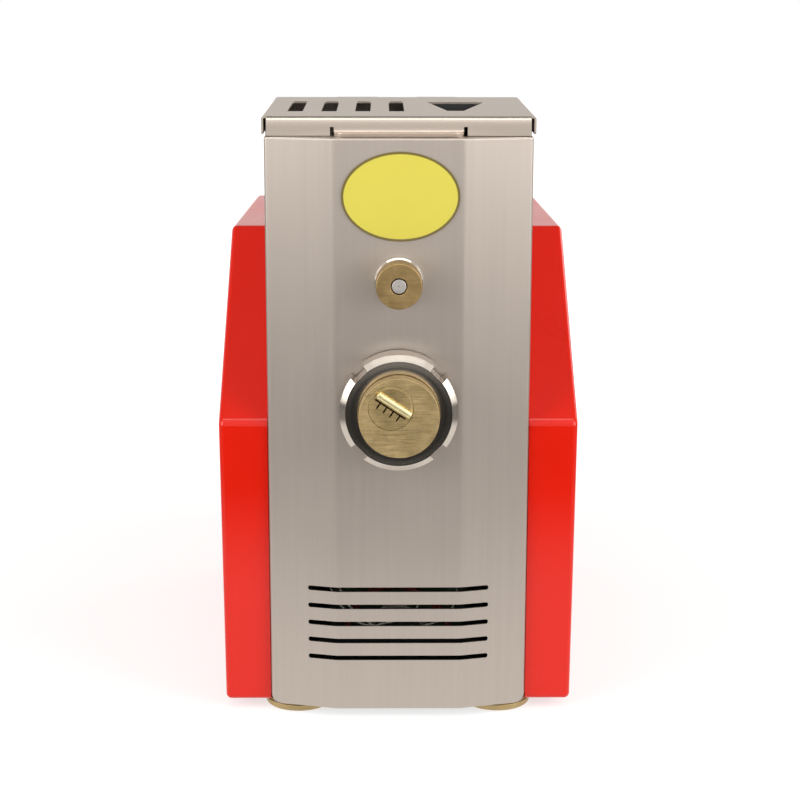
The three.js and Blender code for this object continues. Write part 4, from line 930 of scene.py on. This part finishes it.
def make_knob():
    front, back = span("brass_knob", 1)
    wall = front + KNOB_WALL
    knob = turned([
        (KNOB_HOLE, front, 0.4), (KNOB_RADIUS, front, 0.8), (KNOB_RADIUS, back, 0.6),
        (KNOB_BORE, back, 0.3), (KNOB_BORE, wall, 0), (KNOB_HOLE, wall, 0.2),
    ], KNOB, 144)
    piece(knob, "knob_turned", "knob", "knob_brass", ["brass_knob"])
    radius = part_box("knob_collar")[1].x
    front, back = span("knob_collar", 1)
    collar = turned([
        (COLLAR_HOLE, front, 0.2), (radius - COLLAR_EDGE, front, 0.7),
        (radius, front + COLLAR_EDGE, 0.7), (radius, back, 0.2), (COLLAR_HOLE, back, 0),
    ], KNOB, 144)
    piece(collar, "collar_turned", "root", "collar_steel", ["knob_collar"])
    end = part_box("mixing_paddle")[0].y - 0.15 * MM
    back = end + PIN_LENGTH
    corners = [(0, end, 0), (PIN_RADIUS, end, 0.5), (PIN_RADIUS, back, 0), (0, back, 0)]
    pin = turned(corners, KNOB, 96)
    cut(pin, lathe([(0, end - MM), (1.6 * MM, end - MM), (0, end + 0.9 * MM)], KNOB, 32))
    piece(pin, "paddle_pin_end", "paddle", "pin_steel", edge=0.08)


# Badge

def make_badge():
    low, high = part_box("badge_plate")
    front, back = low.y, high.y
    half_width, half_height = (high.x - low.x) / 2, (high.z - low.z) / 2

    def ring(inset, y, reach=1.0, sides=160):
        """An oval that lies inset within the badge's edge, or a share of that oval"""
        wide, tall = (half_width - inset) * reach, (half_height - inset) * reach
        turns = [2 * pi * i / sides for i in range(sides)]
        return [(BADGE.x + wide * cos(a), y, BADGE.z + tall * sin(a)) for a in turns]

    lines = [
        ring(BADGE_RIM, back), ring(0.0, back), ring(0.0, front + BADGE_CHAMFER),
        ring(BADGE_CHAMFER, front), ring(BADGE_RIM - 0.3 * MM, front),
        ring(BADGE_RIM, front + BADGE_CHAMFER),
    ]
    border = mesh_object(*strip(lines, closed_along=True, closed_across=True))
    piece(border, "badge_rim", "root", "rim_gloss", ["badge_plate"])
    inset = BADGE_RIM + 0.02 * MM
    lines = [ring(inset, back)]
    for i in range(7):
        reach = 1 - i / 7
        lines.append(ring(inset, front + BADGE_SINK - BADGE_DOME * (1 - reach * reach), reach))
    verts, faces = strip(lines, closed_across=True)
    count = len(lines[0])
    last = len(lines) * count
    faces += [tuple(range(count)), tuple(range(last - count, last))]
    face = mesh_object(verts, faces)
    piece(face, "badge_face", "root", "yellow_gloss", ["badge_plate"], sharp=40)


# Feet

def make_feet():
    for side in ("left", "right"):
        for end in ("front", "rear"):
            node = f"foot_{end}_{side}"
            low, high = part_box(node)
            radius = (high.x - low.x) / 2
            neck, step, top = radius - 1.1 * MM, high.z - 1.6 * MM, high.z
            foot = turned([
                (0, 0, 0), (radius - 1.2 * MM, 0, 0.6), (radius, 1.2 * MM, 0.6),
                (radius, step, 0.5), (neck, step, 0.2), (neck, top, 0.2), (0, top, 0),
            ], ORIGIN, 96, 3)
            middle = centre(node)
            placed(foot, (middle.x, middle.y, 0), pi / 2, "X")
            piece(foot, f"{node}_turned", "root", "foot_brass", [node])


# Rear controls

def make_selector():
    back = centre("selector_dial")
    low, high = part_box("selector_dial")
    dial = turned([
        (DIAL_HOLE, low.y, 0), (DIAL_RADIUS, low.y, 0.1),
        (DIAL_RADIUS, high.y, 0.4), (DIAL_HOLE, high.y, 0.1),
    ], back, 96, 3)
    piece(dial, "selector_dial_plate", "root", "black_moulded", ["selector_dial"])
    marks = []
    for i, turn in enumerate((-45, 0, 45)):
        angle = radians(turn)
        tick = block((-0.5 * MM, 0.5 * MM), (high.y, high.y + 0.12 * MM), (16.8 * MM, 18.2 * MM))
        marks.append(placed(tick, (back.x, 0, back.z), -angle))
        digit = number(str(i), 3.6 * MM)
        x, z = back.x - DIGIT_CIRCLE * sin(angle), back.z + DIGIT_CIRCLE * cos(angle)
        upright = Matrix.Rotation(pi, 4, "Z") @ Matrix.Rotation(pi / 2, 4, "X")
        digit.data.transform(Matrix.Translation((x, high.y, z)) @ upright)
        marks.append(digit)
    piece(merged(marks), "selector_marks", "root", "mark_white")

    start = high.y + GAP
    low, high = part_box("selector_knob")
    top = high.y - 1.2 * MM
    knob = turned([
        (0, low.y, 0), (4 * MM, low.y, 0.4), (4 * MM, start, 0.2), (16 * MM, start, 0.4),
        (16 * MM, start + 2.2 * MM, 0.8), (13.6 * MM, start + 3.4 * MM, 1.5),
        (12.6 * MM, top, 1.6), (0, top, 0),
    ], back, 96)
    outline = rounded(box_outline(-3 * MM, 3 * MM, -13 * MM, 15.8 * MM), 1.6 * MM)
    grip = prism(outline, start + 2 * MM, high.y)
    fuse(knob, placed(grip, (back.x, 0, back.z)))
    piece(knob, "selector_grip", "selector", "black_moulded", ["selector_knob"], 0.5, 34)
    line = block((-0.6 * MM, 0.6 * MM), (high.y - 0.05 * MM, high.y), (5 * MM, 14.5 * MM))
    piece(placed(line, (back.x, 0, back.z)), "selector_pointer", "selector", "mark_white")


def make_button(name, material):
    low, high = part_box(f"{name}_bezel")
    middle = centre(f"{name}_bezel")
    bezel = turned([
        (BEZEL_HOLE, low.y, 0), (BEZEL_RADIUS, low.y, 0.3),
        (BEZEL_RADIUS, high.y, 1.6), (BEZEL_HOLE, high.y, 0.9),
    ], middle, 96, 5)
    piece(bezel, f"{name}_bezel_ring", "root", "collar_steel", [f"{name}_bezel"])
    low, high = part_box(f"{name}_button")
    flange, step = (high.x - low.x) / 2, low.y + 4 * MM
    cap = turned([
        (0, low.y, 0), (flange, low.y, 0.3), (flange, step, 0.3), (CAP_RADIUS, step, 0),
        (CAP_RADIUS, high.y, 0.9), (8.4 * MM, high.y, 0.3), (5 * MM, high.y - 0.55 * MM, 3),
        (0, high.y - 0.8 * MM, 0),
    ], middle, 96, 5)
    piece(cap, f"{name}_cap", name, material, [f"{name}_button"])


def number(text, height):
    """A raised numeral, lying in the XY plane about its own middle"""
    curve = bpy.data.curves.new("number", "FONT")
    curve.body = text
    curve.size = height
    curve.extrude = 0.06 * MM
    curve.align_x = "CENTER"
    curve.align_y = "CENTER"
    source = added("number", curve)
    graph = bpy.context.evaluated_depsgraph_get()
    mesh = bpy.data.meshes.new_from_object(source.evaluated_get(graph))
    bpy.data.objects.remove(source)
    return added("shape", mesh)


def make_inlet():
    low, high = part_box("inlet_socket")
    middle = (low + high) / 2
    flange, out = high.y - 2.6 * MM, high.y + PAST
    outline = box_outline(-13.8 * MM, 13.8 * MM, -10 * MM, 10 * MM)
    body = prism(rounded(outline, 3 * MM), low.y, flange + MM)
    ear, tall = (high.x - low.x) / 2, (high.z - low.z) / 2
    fuse(body, prism(rounded(box_outline(-ear, ear, -tall, tall), 4 * MM), flange, high.y))
    cavity = [(-10.8, -7), (10.8, -7), (10.8, 3.6), (7.4, 7), (-7.4, 7), (-10.8, 3.6)]
    cavity = rounded([(x * MM, z * MM) for x, z in cavity], 0.9 * MM)
    cut(body, prism(cavity, low.y + 3 * MM, out))
    for x in (-1, 1):
        cut(body, prism(circle(1.7 * MM, x * (ear - 5.4 * MM), 0, 32), flange - MM, out))
    placed(body, (middle.x, 0, middle.z))
    piece(body, "inlet_body", "root", "black_moulded", ["inlet_socket"], 0.35)
    pins = []
    for across, up in ((-7, -2), (0, 2), (7, -2)):
        wide = [middle.x + (across + edge) * MM for edge in (-1, 1)]
        tall = [middle.z + (up + edge) * MM for edge in (-2, 2)]
        pins.append(block(wide, (low.y + 2.5 * MM, high.y - 9 * MM), tall))
    piece(merged(pins), "inlet_pins", "root", "collar_steel", ["inlet_socket"], 0.3)


# Thin wires that show behind the vents: x, distance behind the facet and z of the points they pass

WIRE_SIDES = 10
WIRE_STEPS = 8
WIRE_PATHS = (
    (
        (-53, 67.8, 98), (-53, 50, 94), (-51.7, 40, 89), (-43.9, 40, 75), (-32, 40, 62.6),
        (-25, 40, 59.4), (-18, 40, 58.4), (-12.8, 40, 60), (-2.7, 40, 62.3), (7.4, 40, 64.2),
        (15, 50, 70), (17, 67.8, 78),
    ),
    (
        (-46, 67.8, 101), (-46, 50, 96), (-44.7, 40, 88.6), (-37.7, 40, 75), (-24, 40, 62.6),
        (-17, 40, 58), (2, 40, 55.5), (16, 40, 57), (25.3, 40, 60.2), (33.8, 40, 63.4),
        (42, 42, 72), (46, 52, 84), (47, 67.8, 92),
    ),
)


def wire(path):
    """A round wire on a smooth curve through points, closed at both ends"""
    points = [Vector((x * MM, behind(d), z * MM)) for x, d, z in path]
    ends = [2 * points[0] - points[1], *points, 2 * points[-1] - points[-2]]
    curve = []
    for a, b, c, d in zip(ends, ends[1:], ends[2:], ends[3:]):
        for i in range(WIRE_STEPS):
            s = i / WIRE_STEPS
            curve.append(0.5 * (2 * b + (c - a) * s + (2 * a - 5 * b + 4 * c - d) * s ** 2
                                + (3 * b - a - 3 * c + d) * s ** 3))
    curve.append(points[-1])
    side = Vector((0, 0, 1))
    rings = []
    for i, point in enumerate(curve):
        ahead = (curve[min(i + 1, len(curve) - 1)] - curve[max(i - 1, 0)]).normalized()
        side = (side - ahead * side.dot(ahead)).normalized()
        other = ahead.cross(side)
        section = circle(WIRE_RADIUS, sides=WIRE_SIDES)
        rings.append([point + side * u + other * v for u, v in section])
    rings = [[curve[0]] * WIRE_SIDES, *rings, [curve[-1]] * WIRE_SIDES]
    return mesh_object(*strip(rings, closed_across=True))


# Nodes that keep their own shape, by finish, and how far their edges are softened in mm

CARRIED = {
    "cast_grey": {"base_plate": 0.4, "bulkhead": 0.4, "gearbox_casing": 0.2, "motor_bracket": 0.6},
    "panel_steel": {"tower_shell": 0.3, "rear_panel": 0.25},
    "red_satin": {"deck_cover": 0.35},
    # The pour funnel is steel; its black plastic is painted shade for the dark inside of the pour
    # opening
    "black_moulded": {"pour_funnel": 0.2, "fan_cover": 0.8, "control_box": 1.2, "lid_sensor": 0.6},
    "gear_steel": {
        "lid_magnet": 0.4, "auger_gear": 0.25, "paddle_gear": 0.25, "motor_pinion": 0.1,
    },
    "lid_steel": {"hinge_leaf": 0.25},
    "bolt_steel": {"hinge_pin": 0.3},
    "inner_steel": {"hopper_tub": 0.3, "mixing_paddle": 0.5},
    "nut_steel": {"barrel": 0.4, "auger_screw": 0.3},
    "bush_brass": {"auger_bearing": 0.3, "paddle_bearing": 0.3, "bearing_sleeve": 0.2},
    "motor_gloss": {"motor_can": 0.5},
    "white_moulded": {"capacitor": 1.2, "terminal_block": 0.4},
    "board_laminate": {"circuit_board": 0.2},
    "wire_red": {"wiring_loom_red": 0.0},
    "wire_white_painted_shade": {"wiring_loom_white": 0.0},
}


# Stage: camera, floor, world and lamps

CAMERA_LENS = 85.137
CAMERA_PLACE = (-11.4 * MM, FACE - 1343.1 * MM, 563.5 * MM)
CAMERA_TURNS = ((-0.529, "Z"), (90 - 13.258, "X"), (0.099, "Z"))
WARM = (1.0, 0.97, 0.94, 1)
# The floor as polished metal sees it: pale round the object, dark beyond, paler far off
NEAR_FLOOR = (-0.82, -0.40)
NEAR_LEVEL = 1.2
FAR_FLOOR = (-2.1, -1.4)
SIDE_FLOOR = (0.45, 0.75)
SIDE_SHARE = 0.3
DARK_SHARE = 0.04
BESIDE = (0.35, 0.8)
BESIDE_FRONT = (-0.9, -0.6)
LEFT_GLOW = 0.3
RIGHT_GLOW = 0.7
FLOOR_MIRRORED = 0.86
# The floor as the camera sees it, which pales with the distance from the object
PALE_FLOOR = (0.35, 1.1)
PALE_NEAR = 0.68
# The room as polished metal sees it: degrees round from the front horizon over the top, and level
MIRRORED_ROOM = (
    (0, 0.98), (12, 0.76), (28, 1.0), (76, 1.0), (86, 0.2), (140, 0.22), (158, 0.69), (179, 0.69),
)
MIRRORED_PEAK = 1.12
ROOM_LIGHT = 0.44


def make_camera():
    data = bpy.data.cameras.new("camera")
    data.lens = CAMERA_LENS
    data.sensor_width = 36
    data.clip_start = 0.05
    camera = added("camera", data)
    camera.location = CAMERA_PLACE
    heading = Matrix.Identity(3)
    for degrees, axis in CAMERA_TURNS:
        heading = heading @ Matrix.Rotation(radians(degrees), 3, axis)
    camera.rotation_euler = heading.to_euler()
    bpy.context.scene.camera = camera


def make_floor():
    """A floor that is white to the camera, and pale and dark zones to polished metal"""
    floor = mesh_object([(-6, -6, 0), (6, -6, 0), (6, 6, 0), (-6, 6, 0)], [(0, 1, 2, 3)])
    floor.name = "floor"
    if floor.data.polygons[0].normal.z < 0:
        floor.data.flip_normals()
    material = bpy.data.materials.new("floor_white")
    nodes = emptied(material)
    node, maths = nodes.node, nodes.maths

    def fade(value, start, end, low, high):
        return nodes.ranged(value, low, high, start, end, "SMOOTHSTEP")

    rays = node("LightPath").outputs
    place = node("TexCoord").outputs["Object"]
    across, forward, _ = node("SeparateXYZ", {0: place}).outputs
    sides = fade(maths("ABSOLUTE", across), *SIDE_FLOOR, 1.0, SIDE_SHARE)
    near = maths("MULTIPLY", fade(forward, *NEAR_FLOOR, 0.0, NEAR_LEVEL), sides)
    far = fade(forward, *FAR_FLOOR, 1.0, 0.0)
    left = fade(across, -BESIDE[1], -BESIDE[0], LEFT_GLOW, 0.0)
    beside = maths("ADD", fade(across, *BESIDE, 0.0, RIGHT_GLOW), left)
    dim = maths("MULTIPLY_ADD", beside, fade(forward, *BESIDE_FRONT, 1.0, 0.0), DARK_SHARE)
    zone = maths("MAXIMUM", maths("MAXIMUM", near, far), dim)
    strength = maths("MULTIPLY", zone, FLOOR_MIRRORED)
    mirrored = node("Emission", {"Color": (1.0, 0.965, 0.93, 1), "Strength": strength})
    length = node("VectorMath", {0: place}, operation="LENGTH").outputs["Value"]
    reach = fade(length, *PALE_FLOOR, PALE_NEAR, 1.0)
    glow = node("Emission", {"Strength": maths("MULTIPLY", rays["Is Camera Ray"], reach)})
    tint = nodes.mixed(rays["Is Camera Ray"], (0.86, 0.85, 0.84, 1), (0.45, 0.45, 0.45, 1))
    diffuse = node("BsdfDiffuse", {"Color": tint})
    both = node("AddShader", {0: diffuse, 1: glow})
    whole = nodes.blended(rays["Is Glossy Ray"], both, mirrored)
    node("OutputMaterial", {"Surface": whole})
    floor.data.materials.append(material)


def make_world():
    """White to the camera, a dim room to the rest, softboxes and a backdrop to polished metal"""
    world = bpy.data.worlds.new("studio")
    bpy.context.scene.world = world
    nodes = emptied(world)
    node, maths = nodes.node, nodes.maths
    rays = node("LightPath").outputs
    seen = node("Background", {"Color": (1, 1, 1, 1)})
    room = node("Background", {"Color": WARM, "Strength": ROOM_LIGHT})
    place = node("TexCoord").outputs["Generated"]
    _, back, up = node("SeparateXYZ", {0: place}).outputs
    height = maths("ARCTAN2", up, maths("MULTIPLY", back, -1.0))
    ramp = node("ValToRGB", {0: maths("DIVIDE", height, pi)})
    ramp.color_ramp.interpolation = "EASE"
    stops = ramp.color_ramp.elements
    while len(stops) > 1:
        stops.remove(stops[-1])
    for i, (degrees, level) in enumerate(MIRRORED_ROOM):
        stop = stops[0] if i == 0 else stops.new(degrees / 180)
        stop.position = degrees / 180
        stop.color = (level, level, level, 1)
    strength = maths("MULTIPLY", ramp, MIRRORED_PEAK)
    mirrored = node("Background", {"Color": WARM, "Strength": strength})
    inner = nodes.blended(rays["Is Glossy Ray"], room, mirrored)
    whole = nodes.blended(rays["Is Camera Ray"], inner, seen)
    node("OutputWorld", {"Surface": whole})


def lamp(name, place, target, size, power):
    data = bpy.data.lights.new(name, "AREA")
    data.shape = "RECTANGLE"
    data.size, data.size_y = size
    data.energy = power
    data.color = WARM[:3]
    made = added(name, data)
    made.location = place
    made.rotation_euler = (Vector(target) - Vector(place)).to_track_quat("-Z", "Y").to_euler()


make_camera()
make_floor()
make_world()
lamp("top_softbox", (0.0, -0.40, 1.6), (0, -0.40, 0), (1.8, 0.5), 6.2)
lamp("left_softbox", (-1.9, -1.35, 0.95), (0, 0, 0.25), (1.5, 1.5), 26)
lamp("right_softbox", (1.9, -1.35, 0.95), (0, 0, 0.25), (1.5, 1.5), 30)
lamp("rear_softbox", (1.9, 1.6, 1.3), (0, 0, 0.25), (1.0, 1.0), 8)
make_front_panel()
make_lid()
for side, name in ((-1, "left"), (1, "right")):
    make_cover(side, name)
    for i in (1, 2):
        screw(f"{name}_cover_bolt_{i}", f"{name}_cover_screw_{i}", Vector((side, 0, 0)))
for corner in ("low_left", "low_right", "high_left", "high_right"):
    screw(f"rear_bolt_{corner}", f"rear_screw_{corner}", Vector((0, 1, 0)))
make_ring_nut()
make_die()
make_knob()
make_badge()
make_feet()
make_selector()
make_button("start", "green_moulded")
make_button("stop", "red_moulded")
make_inlet()
for i, path in enumerate(WIRE_PATHS):
    piece(wire(path), f"vent_wire_{i + 1}", "root", "white_moulded", sharp=60)
for finish, nodes in CARRIED.items():
    for node, edge in nodes.items():
        dress(node, finish, edge)

bpy.context.scene.view_settings.view_transform = "Standard"
